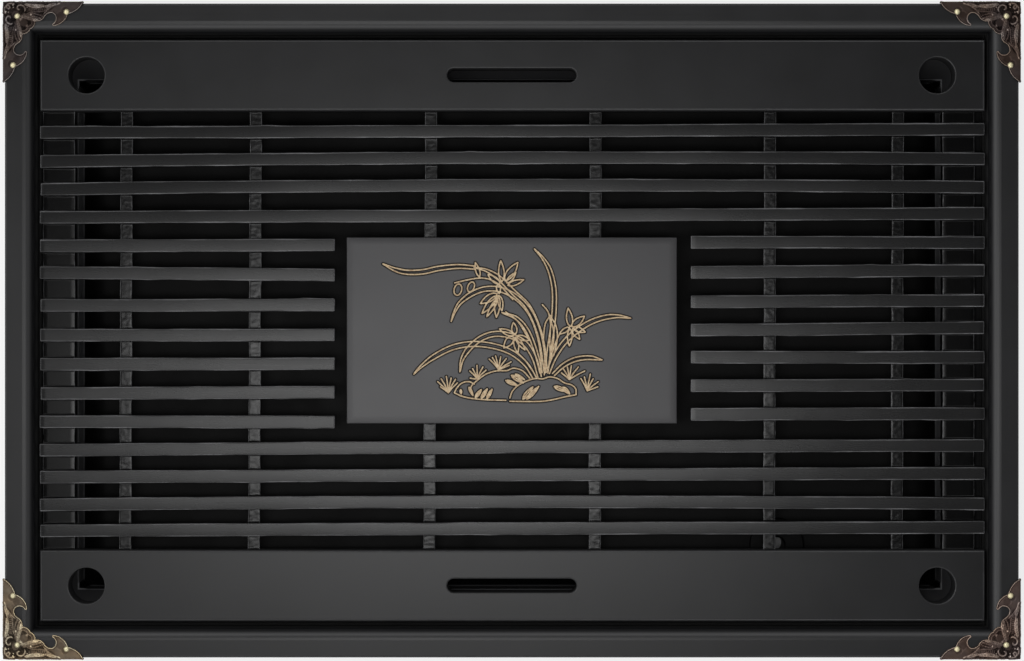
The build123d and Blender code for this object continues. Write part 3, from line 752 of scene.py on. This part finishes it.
LINES = (
    ((40.2, 21.6), (46, 20.2), (52, 19.2), (57, 19.6), (62, 22), (66, 26), (69.5, 30)),
    ((84.4, 32.6), (86.8, 35.4), (88, 38.4), (88.6, 43)),
    ((93, 47.4), (91, 52), (89, 58), (87.5, 64)),
    ((72, 57), (76, 61), (79.5, 66)),
    ((66, 36.2), (72, 41), (77, 49)),
    # rocks
    ((48, 76.4), (48.8, 73.4), (52, 70.4), (56, 67.6), (61, 66), (66.5, 65.8), (70, 64.6), (74.5, 66),
      (78, 69.6)),
    ((68, 79.6), (69.4, 76), (72.6, 73), (76.6, 71), (81, 69.8), (84.6, 70), (88, 69), (92, 69.8),
      (95.5, 72), (99, 73), (101.2, 75), (101.4, 78)),
    ((101.4, 78), (96, 79), (90, 80.4), (84, 81.3), (76, 81.4), (68, 81.3)),
    ((40, 77), (41.4, 74.4), (44, 72), (47.4, 71.4), (50, 72.6)),
    ((40, 77), (44, 78.8), (50, 80), (58, 80.6), (66, 80.8)),
)
DABS = (
    # short fat strokes on the rocks: from, to, half width
    ((50.6, 79.4), (53.6, 75.4), 0.7), ((53.6, 79.8), (56.6, 75.0), 0.7), ((56.4, 79.9), (59.0, 75.2), 0.6),
    ((66, 70.8), (71.6, 73.2), 0.8), ((68.8, 68.2), (74.8, 72), 0.9), ((70.8, 67.6), (75.4, 70.4), 0.5),
    ((74.6, 80.2), (79.6, 74), 1.0), ((76.6, 80.2), (82.6, 73.8), 0.8),
    ((90.4, 73.8), (96.4, 76.2), 0.9), ((94.8, 74.2), (98.2, 77.6), 0.8),
    ((43.2, 75.4), (43.4, 77.6), 0.4), ((47.4, 74.2), (49.4, 78.4), 0.5),
)
TUFTS = (
    # foot, tips
    ((37, 77), ((31.6, 71.4), (33.4, 70), (36, 68.8), (38.4, 69.6), (40.6, 70.2), (41.6, 72), (33, 74))),
    ((51.6, 70), ((47.8, 66), (49.2, 64.8), (51.4, 63.2), (54.4, 64), (56, 65.6), (48, 69.6))),
    ((62.4, 65.4), ((57.6, 60), (59.2, 59.2), (60.8, 58.4), (63.4, 58.8), (66.2, 59.8), (68.6, 61.4),
      (67.6, 63.2))),
    ((98, 70.4), ((94.8, 64.6), (97, 64), (99, 63.4), (102.6, 64), (105.8, 66), (94, 67))),
    ((107, 76), ((103.8, 69.8), (105.6, 69), (108.6, 67.6), (110, 70), (112.6, 71.4), (112.4, 74))),
)
LINE_HALF = 0.42
LINE_DEPTH = 0.30
# How far from a line its gilt attribute reaches nought
HALO = 1.15
# Points beside a line, in shares of its half width, and rings of points round its ends
BESIDE_LINE = (0.0, 0.55, -0.55, 1.1, -1.1, 1.9, -1.9, 2.8, -2.8)
END_RINGS = (0.23, 0.46, 0.8, 1.18)
# Points nearer to each other than this are thinned out; the plain field has a wide grid, which
# keeps a gap to the lines
CROWDED = 0.17
PLAIN_STEP, PLAIN_GAP = 3.0, 1.6
PANEL_EDGE_RADIUS = 0.45
BORDER_COUNTS = (42, 24)


def blade_outline(points, half):
    """Two lines that run side by side up a leaf and close at its tip."""
    centre = smooth_line(points, 0.8)
    normal = left_of(centre)
    t = np.linspace(0, 1, len(centre))
    width = half * unit((1 - t) * 5.5) ** 0.75 * (0.72 + 0.28 * np.sin(math.pi * t))
    return [centre + normal * width[:, None], centre - normal * width[:, None]]


def petal_outline(base, tip, half):
    a, b = np.array(base, float), np.array(tip, float)
    along = (b - a) / np.linalg.norm(b - a)
    across = np.array([-along[1], along[0]])
    t = np.linspace(0, 1, 9)
    width = half * np.sin(math.pi * t ** 0.8) ** 0.85
    centre = a + (b - a) * t[:, None]
    return [centre + across * width[:, None], centre - across * width[:, None]]


def motif_strokes():
    strokes = []
    for points, half in BLADES:
        strokes += blade_outline(points, half)
    for base, tip, half in PETALS:
        strokes += [smooth_line(side, 0.5) for side in petal_outline(base, tip, half)]
    for (cx, cy), wide, high, lean in OVALS:
        turn = math.radians(lean)
        ring = []
        for k in range(17):
            a = 2 * math.pi * k / 16
            x, y = wide * math.cos(a), high * math.sin(a)
            ring.append((cx + x * math.cos(turn) - y * math.sin(turn),
                         cy + x * math.sin(turn) + y * math.cos(turn)))
        strokes.append(np.array(ring))
    strokes += [smooth_line(points, 0.5) for points in LINES]
    for a, b, half in DABS:
        strokes += [smooth_line(side, 0.5) for side in petal_outline(a, b, half)]
        strokes.append(smooth_line((a, b), 0.5))
    for foot, tips in TUFTS:
        for tip in tips:
            bow = ((foot[0] * 0.45 + tip[0] * 0.55) + (foot[0] - tip[0]) * 0.1,
                   foot[1] * 0.45 + tip[1] * 0.55 + 0.2)
            strokes.append(smooth_line((foot, bow, tip), 0.5))
    return [np.stack([s[:, 0] + MOTIF_X, MOTIF_Y - s[:, 1]], axis=1) for s in strokes]


def make_panel():
    low, high = (np.array(c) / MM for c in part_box("centre_panel"))
    radius = PANEL_EDGE_RADIUS
    strokes = motif_strokes()
    dense = np.concatenate([smooth_line(s, 0.12) if len(s) > 2 else s for s in strokes])
    tree = KDTree(len(dense))
    for i, q in enumerate(dense):
        tree.insert((q[0], q[1], 0.0), i)
    tree.balance()
    x0, y0, x1, y1 = low[0] + radius, low[1] + radius, high[0] - radius, high[1] - radius
    nx, ny = BORDER_COUNTS
    border = [(x0 + (x1 - x0) * k / nx, y0) for k in range(nx)]
    border += [(x1, y0 + (y1 - y0) * k / ny) for k in range(ny)]
    border += [(x1 - (x1 - x0) * k / nx, y1) for k in range(nx)]
    border += [(x0, y1 - (y1 - y0) * k / ny) for k in range(ny)]
    inner = []
    for s in strokes:
        line = smooth_line(s, 0.42) if len(s) > 2 else s
        normal = left_of(line)
        for offset in BESIDE_LINE:
            inner += [tuple(q) for q in line + normal * LINE_HALF * offset]
        for stop in (line[0], line[-1]):
            for reach in END_RINGS:
                angles = [k * math.pi / 5 for k in range(10)]
                inner += [(stop[0] + reach * math.cos(a), stop[1] + reach * math.sin(a)) for a in angles]
    kept = {}
    for q in inner:
        key = (round(q[0] / CROWDED), round(q[1] / CROWDED))
        if key not in kept and x0 + 1 < q[0] < x1 - 1 and y0 + 1 < q[1] < y1 - 1:
            kept[key] = q
    points = border + list(kept.values())
    for gx in np.arange(x0 + PLAIN_STEP, x1 - 1, PLAIN_STEP):
        for gy in np.arange(y0 + PLAIN_STEP, y1 - 1, PLAIN_STEP):
            if tree.find((gx, gy, 0))[2] > PLAIN_GAP:
                points.append((gx, gy))
    top, faces = triangles(points, len(border))
    near = np.array([tree.find((q[0], q[1], 0))[2] for q in top])
    groove = unit(1 - near / LINE_HALF)
    sunk = LINE_DEPTH * groove ** 0.8
    verts = [(q[0], q[1], high[2] - d) for q, d in zip(top, sunk)]
    gilt = list(unit(1 - near / HALO))
    # the eased edge and the sides, as rings around the flat top
    origin = {}
    for i, q in enumerate(top):
        origin[(round(q[0], 3), round(q[1], 3))] = i
    ring = [origin[(round(q[0], 3), round(q[1], 3))] for q in border]
    levels = [(radius * math.sin(a), high[2] - radius * (1 - math.cos(a)))
              for a in (math.radians(d) for d in (15, 30, 45, 60, 75, 90))]
    levels.append((radius, low[2]))
    for out, z in levels:
        start = len(verts)
        for x, y in border:
            sx = -1 if x == x0 else (1 if x == x1 else 0)
            sy = -1 if y == y0 else (1 if y == y1 else 0)
            verts.append((x + sx * out, y + sy * out, z))
            gilt.append(0.0)
        fresh = list(range(start, start + len(border)))
        for k in range(len(border)):
            j = (k + 1) % len(border)
            faces.append([ring[k], fresh[k], fresh[j], ring[j]])
        ring = fresh
    faces.append(list(reversed(ring)))
    mesh = bpy.data.meshes.new("centre_panel_engraved")
    mesh.from_pydata([tuple(np.array(v) * MM) for v in verts], [], faces)
    set_attribute(mesh, "gilt", gilt)
    face_outward(mesh)
    smooth(mesh, 50)
    mesh.materials.append(panel_lacquer)
    obj = link("centre_panel_engraved", mesh)
    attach(obj, "lid")
    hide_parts("centre_panel")


make_panel()


# How far each slat's line strays from straight, at its left end, middle and right end, with the
# front row first
SLAT_STRAY = {
    "long_slat": ((-1.0, 0.1, 0.65), (-0.95, 0.6, -0.45), (-1.0, 0.15, 0.95), (-1.35, 0.15, 1.05),
                  (-0.95, -0.15, 1.0), (-1.25, 0.75, -0.25), (-1.35, 0.55, 0.05), (-0.8, -0.2, 0.9)),
    "short_slat_left": ((0.17, 0.02, -0.13), (-0.25, 0.05, 0.4), (-0.15, 0.0, 0.15), (-0.05, -0.05, 0.05),
                        (-0.1, -0.1, 0.1), (0.7, 0.1, -0.6), (-0.2, -0.1, 0.3)),
    "short_slat_right": ((-0.2, 0.0, 0.2), (-0.25, 0.0, 0.3), (0.05, 0.0, -0.05), (-0.55, 0.0, 0.65),
                         (-0.3, 0.0, 0.3), (-0.6, 0.0, 0.55), (0.05, 0.1, -0.1)),
}
# How far each member stands to the right of its even place, at the back and at the front
MEMBER_STRAY = {"batten_1": (-0.8, -1.6), "batten_2": (0.1, -0.9), "batten_3": (0.8, -0.2),
                "batten_4": (0.9, 0.4), "batten_5": (1.2, 0.6), "batten_6": (1.4, 0.8),
                "end_cleat_left": (-0.9, -1.0), "end_cleat_right": (0.6, 0.5)}
strays = {f"{kind}_{i + 1}": v for kind, rows in SLAT_STRAY.items() for i, v in enumerate(rows)}
boxes = {n: tuple(np.array(c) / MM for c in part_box(n)) for n in nodes}
SLAT_BOTTOM = boxes["long_slat_1"][0][2]


def slat_line(name, x):
    """Middle line of a slat at x, as it really lies."""
    low, high = boxes[name]
    left, middle, right = strays[name]
    t = unit((np.asarray(x, float) - low[0]) / (high[0] - low[0]))
    bow = left * (1 - t) * (1 - 2 * t) + middle * 4 * t * (1 - t) + right * t * (2 * t - 1)
    return (low[1] + high[1]) / 2 + bow


def wander(x, seed, scale):
    """Slow irregular waves along a piece, about one unit high."""
    r = random.Random(seed)
    total = np.zeros_like(x)
    for k, share in enumerate((0.45, 0.3, 0.25)):
        total += share * np.sin(x / (scale / (1.9 ** k)) * 2 * math.pi + r.uniform(0, 6.28))
    return total


def lathe_rows(rows):
    """Joins equal closed rings of points into faces, with a face on each end."""
    n = len(rows[0])
    verts = [tuple(q) for row in rows for q in row]
    faces = []
    for i in range(len(rows) - 1):
        a, b = i * n, (i + 1) * n
        faces += [[a + k, a + (k + 1) % n, b + (k + 1) % n, b + k] for k in range(n)]
    faces += [list(reversed(range(n))), [(len(rows) - 1) * n + k for k in range(n)]]
    return verts, faces


# Angles round a slat's edge from its side to its top, and places across its top
EDGE_TURNS = (0.0, 0.26, 0.52, 0.79, 1.05, 1.31, 1.57)
TOP_SHARES = (0.05, 0.25, 0.5, 0.75, 0.95)
# How pale the points of half a ring turn, from the bottom edge up, on the front and on the back, as edge
# wear and painted highlight
FRONT_WEAR_AND_HIGHLIGHT = (0, 0, 0.1, 0.4, 0.9, 1.0, 1.0, 0.35)
BACK_WEAR_AND_HIGHLIGHT = (0, 0, 0.1, 0.4, 0.8, 0.9, 0.9, 0.3)
END_ROUND = 0.4
STATION_STEP = 2.2
CROWN = 0.045
# An edge's wander and the quicker one on top of it, and how far the top tilts and rises
EDGE_WANDER, EDGE_RIPPLE, TILT, RISE = 0.10, 0.035, 0.035, 0.02
# Radius of the front and back edge, and how much it varies
FRONT_ROUND, BACK_ROUND = (0.42, 0.10), (0.62, 0.16)
# The back left slats twist towards their left ends
TWIST, TWIST_START, TWIST_LENGTH = 0.11, -95, 70


def make_slat(name, seed):
    """A slat as it was laid: its line strays, its edges waver and turn a paler grey as wear and painted
    highlight, and its top is full.
    """
    low, high = boxes[name]
    width, top, bottom = high[1] - low[1], high[2], low[2]
    r = random.Random(seed)
    first = low[0] + (0.5 if low[0] > 0 else r.uniform(-1.0, -0.3))
    last = high[0] + (0.5 if high[0] < 0 else r.uniform(1.0, 1.35))
    inner = np.arange(first + END_ROUND, last - END_ROUND, STATION_STEP)
    stations = [(first, END_ROUND)] + [
        (first + END_ROUND * (1 - math.cos(a)), END_ROUND * (1 - math.sin(a))) for a in (0.5, 1.0)
    ] + [(x, 0.0) for x in inner] + [
        (last - END_ROUND * (1 - math.cos(a)), END_ROUND * (1 - math.sin(a))) for a in (1.57, 1.0, 0.5)
    ] + [(last, END_ROUND)]
    xs = np.array([x for x, _ in stations])
    lines = slat_line(name, xs)
    front = EDGE_WANDER * wander(xs, seed, 90) + EDGE_RIPPLE * wander(xs, seed + 1, 17)
    back = EDGE_WANDER * wander(xs, seed + 2, 80) + EDGE_RIPPLE * wander(xs, seed + 3, 19)
    # a few runs of lacquer stand out along the edges
    for _ in range(r.randint(1, 3)):
        at, long = r.uniform(low[0] + 8, high[0] - 8), r.uniform(2.0, 7.0)
        swell = r.uniform(0.12, 0.32) * np.exp(-((xs - at) / long) ** 2)
        if r.random() < 0.5:
            front -= swell
        else:
            back += swell
    tilt = TILT * wander(xs, seed + 4, 260)
    if name.startswith("long_slat") and low[1] > 0:
        tilt -= TWIST * unit((TWIST_START - xs) / TWIST_LENGTH)
    lift = RISE * wander(xs, seed + 5, 60)
    rows = []
    pale_marks = []
    wear_and_highlight_along = [np.clip(0.6 + 0.9 * wander(xs, seed + 6 + k, 70 + 20 * k), 0.15, 1.0) for k in (0, 1)]
    for i, (x, inset) in enumerate(stations):
        y0 = lines[i] - width / 2 + front[i] + inset * 0.6
        y1 = lines[i] + width / 2 + back[i] - inset * 0.6
        round_front = FRONT_ROUND[0] + FRONT_ROUND[1] * math.sin(x / 23 + seed)
        round_back = BACK_ROUND[0] + BACK_ROUND[1] * math.sin(x / 31 + 2 * seed)
        ring = [(x, y0, bottom)]
        for a in EDGE_TURNS:
            ring.append((x, y0 + round_front * (1 - math.cos(a)), -round_front * (1 - math.sin(a))))
        for t in TOP_SHARES:
            ring.append((x, y0 + round_front + (y1 - y0 - round_front - round_back) * t, 0.0))
        for a in reversed(EDGE_TURNS):
            ring.append((x, y1 - round_back * (1 - math.cos(a)), -round_back * (1 - math.sin(a))))
        ring.append((x, y1, bottom))
        done = [ring[0]]
        for px, py, pz in ring[1:-1]:
            across = (py - lines[i]) / (width / 2)
            z = top + pz - CROWN * across * across + tilt[i] * across + lift[i] - inset
            done.append((px, py, z))
        done.append(ring[-1])
        rows.append(done)
        # the slat's rounded ends turn paler too, as wear and painted highlight
        at_end = 1.0 if inset > 0.1 * END_ROUND else 0.0
        for k in range(len(ring)):
            from_back = len(ring) - 1 - k
            side = max(FRONT_WEAR_AND_HIGHLIGHT[k] * wear_and_highlight_along[0][i] if k < len(FRONT_WEAR_AND_HIGHLIGHT) else 0.0,
                       BACK_WEAR_AND_HIGHLIGHT[from_back] * 0.8 * wear_and_highlight_along[1][i] if from_back < len(BACK_WEAR_AND_HIGHLIGHT) else 0.0)
            pale_marks.append(max(side, 0.8 * at_end if 4 < k < len(ring) - 5 else 0.0))
    verts, faces = lathe_rows(rows)
    obj = make_object(name + "_laid", np.array(verts) * MM, faces, "lid", slat_lacquer, 50)
    set_attribute(obj.data, "pale_marks", pale_marks)
    face_outward(obj.data)
    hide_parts(name)


def covered_spans(x):
    """Stretches of y where something lies on the members at this x, from front to back."""
    spans = [(boxes["lid_board_front"][0][1], boxes["lid_board_front"][1][1]),
             (boxes["lid_board_back"][0][1], boxes["lid_board_back"][1][1])]
    for name in strays:
        low, high = boxes[name]
        if low[0] <= x <= high[0]:
            line = float(slat_line(name, x))
            spans.append((line - (high[1] - low[1]) / 2, line + (high[1] - low[1]) / 2))
    low, high = boxes["centre_panel"]
    if low[0] <= x <= high[0]:
        spans.append((low[1], high[1]))
    return sorted(spans)


# Distances from a slat's side at which a member's lacquer is shaped, and the step of the rest
FILLET_STEPS = (0.0, 0.09, 0.2, 0.34, 0.52, 0.76, 1.05)
FIELD_STEP = 0.42
MEMBER_TURNS = (0.0, 0.4, 0.8, 1.2)
MEMBER_COLUMNS = 9
TENON_INSET, TENON_THICKNESS = 1.75, 3.5
BATTEN_LUMPS, BATTEN_EDGE = 0.05, 0.55
CLEAT_LUMPS, CLEAT_EDGE = 0.0, 0.6


def make_member(name, seed, rough, edge):
    """A batten or cleat, with lacquer drawn up in a small curve against whatever lies on it."""
    low, high = boxes[name]
    spans = covered_spans((low[0] + high[0]) / 2)
    y_first, y_last = spans[0][1], spans[-1][0]
    ys = [(y_first, None, 0.0)]
    for (_, a), (b, _) in zip(spans[:-1], spans[1:]):
        ys += [(a + d, a, d) for d in FILLET_STEPS]
        ys += [(y, None, 9.0) for y in np.arange(a + 1.4, b - 1.2, FIELD_STEP)]
        ys += [(b - d, b, d) for d in reversed(FILLET_STEPS)]
        if b < y_last - 0.1:
            ys.append((b + 0.03, None, -1.0))
    rows = []
    size_at = {}
    pale_marks = []
    span_x = high[0] - low[0]
    top = SLAT_BOTTOM
    back, front = MEMBER_STRAY[name]
    for y, side, d in ys:
        ring = [(low[0], y, low[2])]
        for a in MEMBER_TURNS:
            ring.append((low[0] + edge * (1 - math.cos(a)), y, top - edge * (1 - math.sin(a))))
        for k in range(MEMBER_COLUMNS):
            ring.append((low[0] + edge + (span_x - 2 * edge) * k / (MEMBER_COLUMNS - 1), y, top))
        for a in reversed(MEMBER_TURNS):
            ring.append((high[0] - edge * (1 - math.cos(a)), y, top - edge * (1 - math.sin(a))))
        ring.append((high[0], y, low[2]))
        done = []
        t = (y - y_first) / (y_last - y_first)
        lean = front + (back - front) * t + 0.12 * math.sin(y / 9 + seed)
        for j, (px, py, pz) in enumerate(ring):
            px += lean
            on_top = 0 < j < len(ring) - 1
            if on_top and d >= 0:
                lumps = noise.noise(Vector((px * 0.55, py * 0.55, seed * 3.1)))
                lumps += 0.5 * noise.noise(Vector((px * 1.5, py * 1.5, seed * 5.7)))
                pz += rough * lumps
                if side is not None:
                    key = (side, j)
                    if key not in size_at:
                        pull = 0.62 + 0.42 * noise.noise(Vector((px * 0.5, side * 3.3, seed)))
                        size_at[key] = max(0.25, pull)
                    size = size_at[key]
                    if d < size:
                        pz += size - math.sqrt(max(size * size - (size - d) ** 2, 0.0))
            done.append((px, py, pz))
        rows.append(done)
        # pale spots along the members' rounded edges, as wear and painted highlight
        wear_and_highlight_spots = 0.55 + 0.9 * noise.noise(Vector((y * 0.35, seed * 1.7, 0.4)))
        pale_marks += [min(1.0, max(0.0, wear_and_highlight_spots)) * (1.0 if 3 <= j <= 4 or 3 <= len(ring) - 1 - j <= 4 else 0.0)
                 for j in range(len(ring))]
    verts, faces = lathe_rows(rows)
    # the tenons that go into the boards, with eight corners each
    pale_marks += [0.0] * 16
    z0, z1 = low[2] + TENON_INSET, low[2] + TENON_INSET + TENON_THICKNESS
    for ya, yb in ((low[1], y_first), (y_last, high[1])):
        start = len(verts)
        verts += [(x, y, z) for y in (ya, yb) for x, z in
                  ((low[0], z0), (high[0], z0), (high[0], z1), (low[0], z1))]
        faces += [[start, start + 1, start + 2, start + 3], [start + 7, start + 6, start + 5, start + 4]]
        faces += [[start + k, start + 4 + k, start + 4 + (k + 1) % 4, start + (k + 1) % 4] for k in range(4)]
    obj = make_object(name + "_coated", np.array(verts) * MM, faces, "lid", material_for(name), 60)
    set_attribute(obj.data, "pale_marks", pale_marks)
    face_outward(obj.data)
    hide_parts(name)


# The boards reach further left and right than their solids
BOARD_LEFT, BOARD_RIGHT, BOARD_END = 0.9, 1.5, 6
# How pale the boards' top edges turn, as wear and painted highlight
BOARD_WEAR_AND_HIGHLIGHT = 0.16


def make_board(name):
    """A lid board as it was cut: a little long, with edges a paler grey as wear and painted highlight."""
    mesh = nodes[name].data.copy()
    mesh.name = name + "_cut"
    low, high = boxes[name]
    count = len(mesh.vertices)
    flat = np.empty(count * 3)
    mesh.vertices.foreach_get("co", flat)
    place = flat.reshape(-1, 3) / MM
    place[:, 0] += (np.where(place[:, 0] > high[0] - BOARD_END, BOARD_RIGHT, 0)
                    - np.where(place[:, 0] < low[0] + BOARD_END, BOARD_LEFT, 0))
    mesh.vertices.foreach_set("co", (place * MM).ravel())
    obj = link(name + "_cut", mesh)
    mesh.materials.clear()
    mesh.materials.append(board_lacquer)
    near_edge = (place[:, 2] > high[2] - 0.35) & (
        (np.abs(place[:, 1] - low[1]) < 0.6) | (np.abs(place[:, 1] - high[1]) < 0.6)
        | (np.abs(place[:, 0]) > high[0] + 0.3))
    set_attribute(mesh, "pale_marks", np.where(near_edge, BOARD_WEAR_AND_HIGHLIGHT, 0.0))
    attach(obj, "lid")
    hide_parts(name)


make_board("lid_board_front")
make_board("lid_board_back")
for i, slat_name in enumerate(sorted(strays)):
    make_slat(slat_name, 11 + 7 * i)
for i, member_name in enumerate(sorted(n for n in nodes if n.startswith("batten_"))):
    make_member(member_name, 3 + i, BATTEN_LUMPS, BATTEN_EDGE)
make_member("end_cleat_left", 31, CLEAT_LUMPS, CLEAT_EDGE)
make_member("end_cleat_right", 37, CLEAT_LUMPS, CLEAT_EDGE)


FRAME_SIDES = ((0.0, 0.255), (0.0, 0.1645))
# Around the tray the floor glows for rays that see it straight or in a reflection
FLOOR_GLOW_SHARE = 0.72
FLOOR_HALF = 30.0


def make_floor():
    material, tree, shader = new_material("pale_floor")
    for key, value in (("Base Color", (0.9, 0.9, 0.9)), ("Roughness", 0.9), ("Specular IOR Level", 0.1)):
        feed(tree, value, shader.inputs[key])
    glow = add(tree, "ShaderNodeEmission", (1.0, 1.0, 1.0), 1.0)
    path = add(tree, "ShaderNodeLightPath").outputs
    seen = calc(tree, "MAXIMUM", path["Is Camera Ray"], path["Is Glossy Ray"])
    seen = calc(tree, "MAXIMUM", seen, path["Is Transmission Ray"])
    around = remap(tree, beyond_sides(tree, FRAME_SIDES), -0.012, -0.002, 0.0, FLOOR_GLOW_SHARE)
    mix = add(tree, "ShaderNodeMixShader", calc(tree, "MULTIPLY", seen, around),
              shader.outputs[0], glow.outputs[0])
    tree.links.new(mix.outputs[0], tree.nodes["Material Output"].inputs["Surface"])
    mesh = bpy.data.meshes.new("floor")
    corners = [(x * FLOOR_HALF, y * FLOOR_HALF, 0) for x, y in ((-1, -1), (1, -1), (1, 1), (-1, 1))]
    mesh.from_pydata(corners, [], [(0, 1, 2, 3)])
    mesh.materials.append(material)
    obj = link("floor", mesh)


make_floor()

# A tent of soft light with a strip lamp over the tray. The tent is dim straight up, bright in a
# ring around that, and dim towards the horizon; each stop is the height of a direction and a share.
SKY = ((0.0, 0.06), (0.25, 0.12), (0.36, 0.30), (0.50, 0.65), (0.63, 1.1), (0.76, 1.25), (0.84, 0.45),
       (0.90, 0.10), (0.95, 0.04), (1.0, 0.03))
SKY_STRENGTH, SKY_BLUE = 1.9, 1.01
# It is dimmer on the right, down to this share from this height of a direction along x
RIGHT_SHARE, RIGHT_FULL = 0.4, 0.62
# The lamp fades towards its edges: it is made of three, each larger and fainter than the one before
LAMP_PLACE = (-0.067, -0.061, 1.157)
LAMPS = ((0.18, 0.056, 0.20), (0.36, 0.113, 0.74), (0.56, 0.176, 1.00))

world = bpy.data.worlds.new("studio")
bpy.context.scene.world = world
world.use_nodes = True
sky = world.node_tree
split = add(sky, "ShaderNodeSeparateXYZ", add(sky, "ShaderNodeTexCoord").outputs["Generated"])
tone = ramp(sky, split.outputs["Z"], [(z, (v, v, v * SKY_BLUE)) for z, v in SKY])
background = sky.nodes["Background"]
sky.links.new(tone, background.inputs["Color"])
sky.links.new(remap(sky, split.outputs["X"], 0.0, RIGHT_FULL, SKY_STRENGTH, RIGHT_SHARE * SKY_STRENGTH),
              background.inputs["Strength"])

for lamp_length, lamp_width, power in LAMPS:
    lamp_data = bpy.data.lights.new("strip_lamp", "AREA")
    lamp_data.shape = "RECTANGLE"
    lamp_data.size, lamp_data.size_y = lamp_length, lamp_width
    lamp_data.energy = power
    lamp = link("strip_lamp", lamp_data)
    lamp.location = LAMP_PLACE
    lamp.visible_camera = False

# The camera looks straight down; HALF_VIEW is half the picture's width at the rails' tops
CAMERA_X, CAMERA_HEIGHT = 0.0001, 1.6
RAIL_TOP = 0.062
HALF_VIEW = 0.2574
SENSOR_WIDTH = 36.0

camera_data = bpy.data.cameras.new("camera")
camera_data.sensor_width = SENSOR_WIDTH
camera_data.lens = SENSOR_WIDTH / 2 * CAMERA_HEIGHT / HALF_VIEW
camera = link("camera", camera_data)
camera.location = (CAMERA_X, 0.0, RAIL_TOP + CAMERA_HEIGHT)
bpy.context.scene.camera = camera
bpy.context.scene.view_settings.view_transform = "Standard"
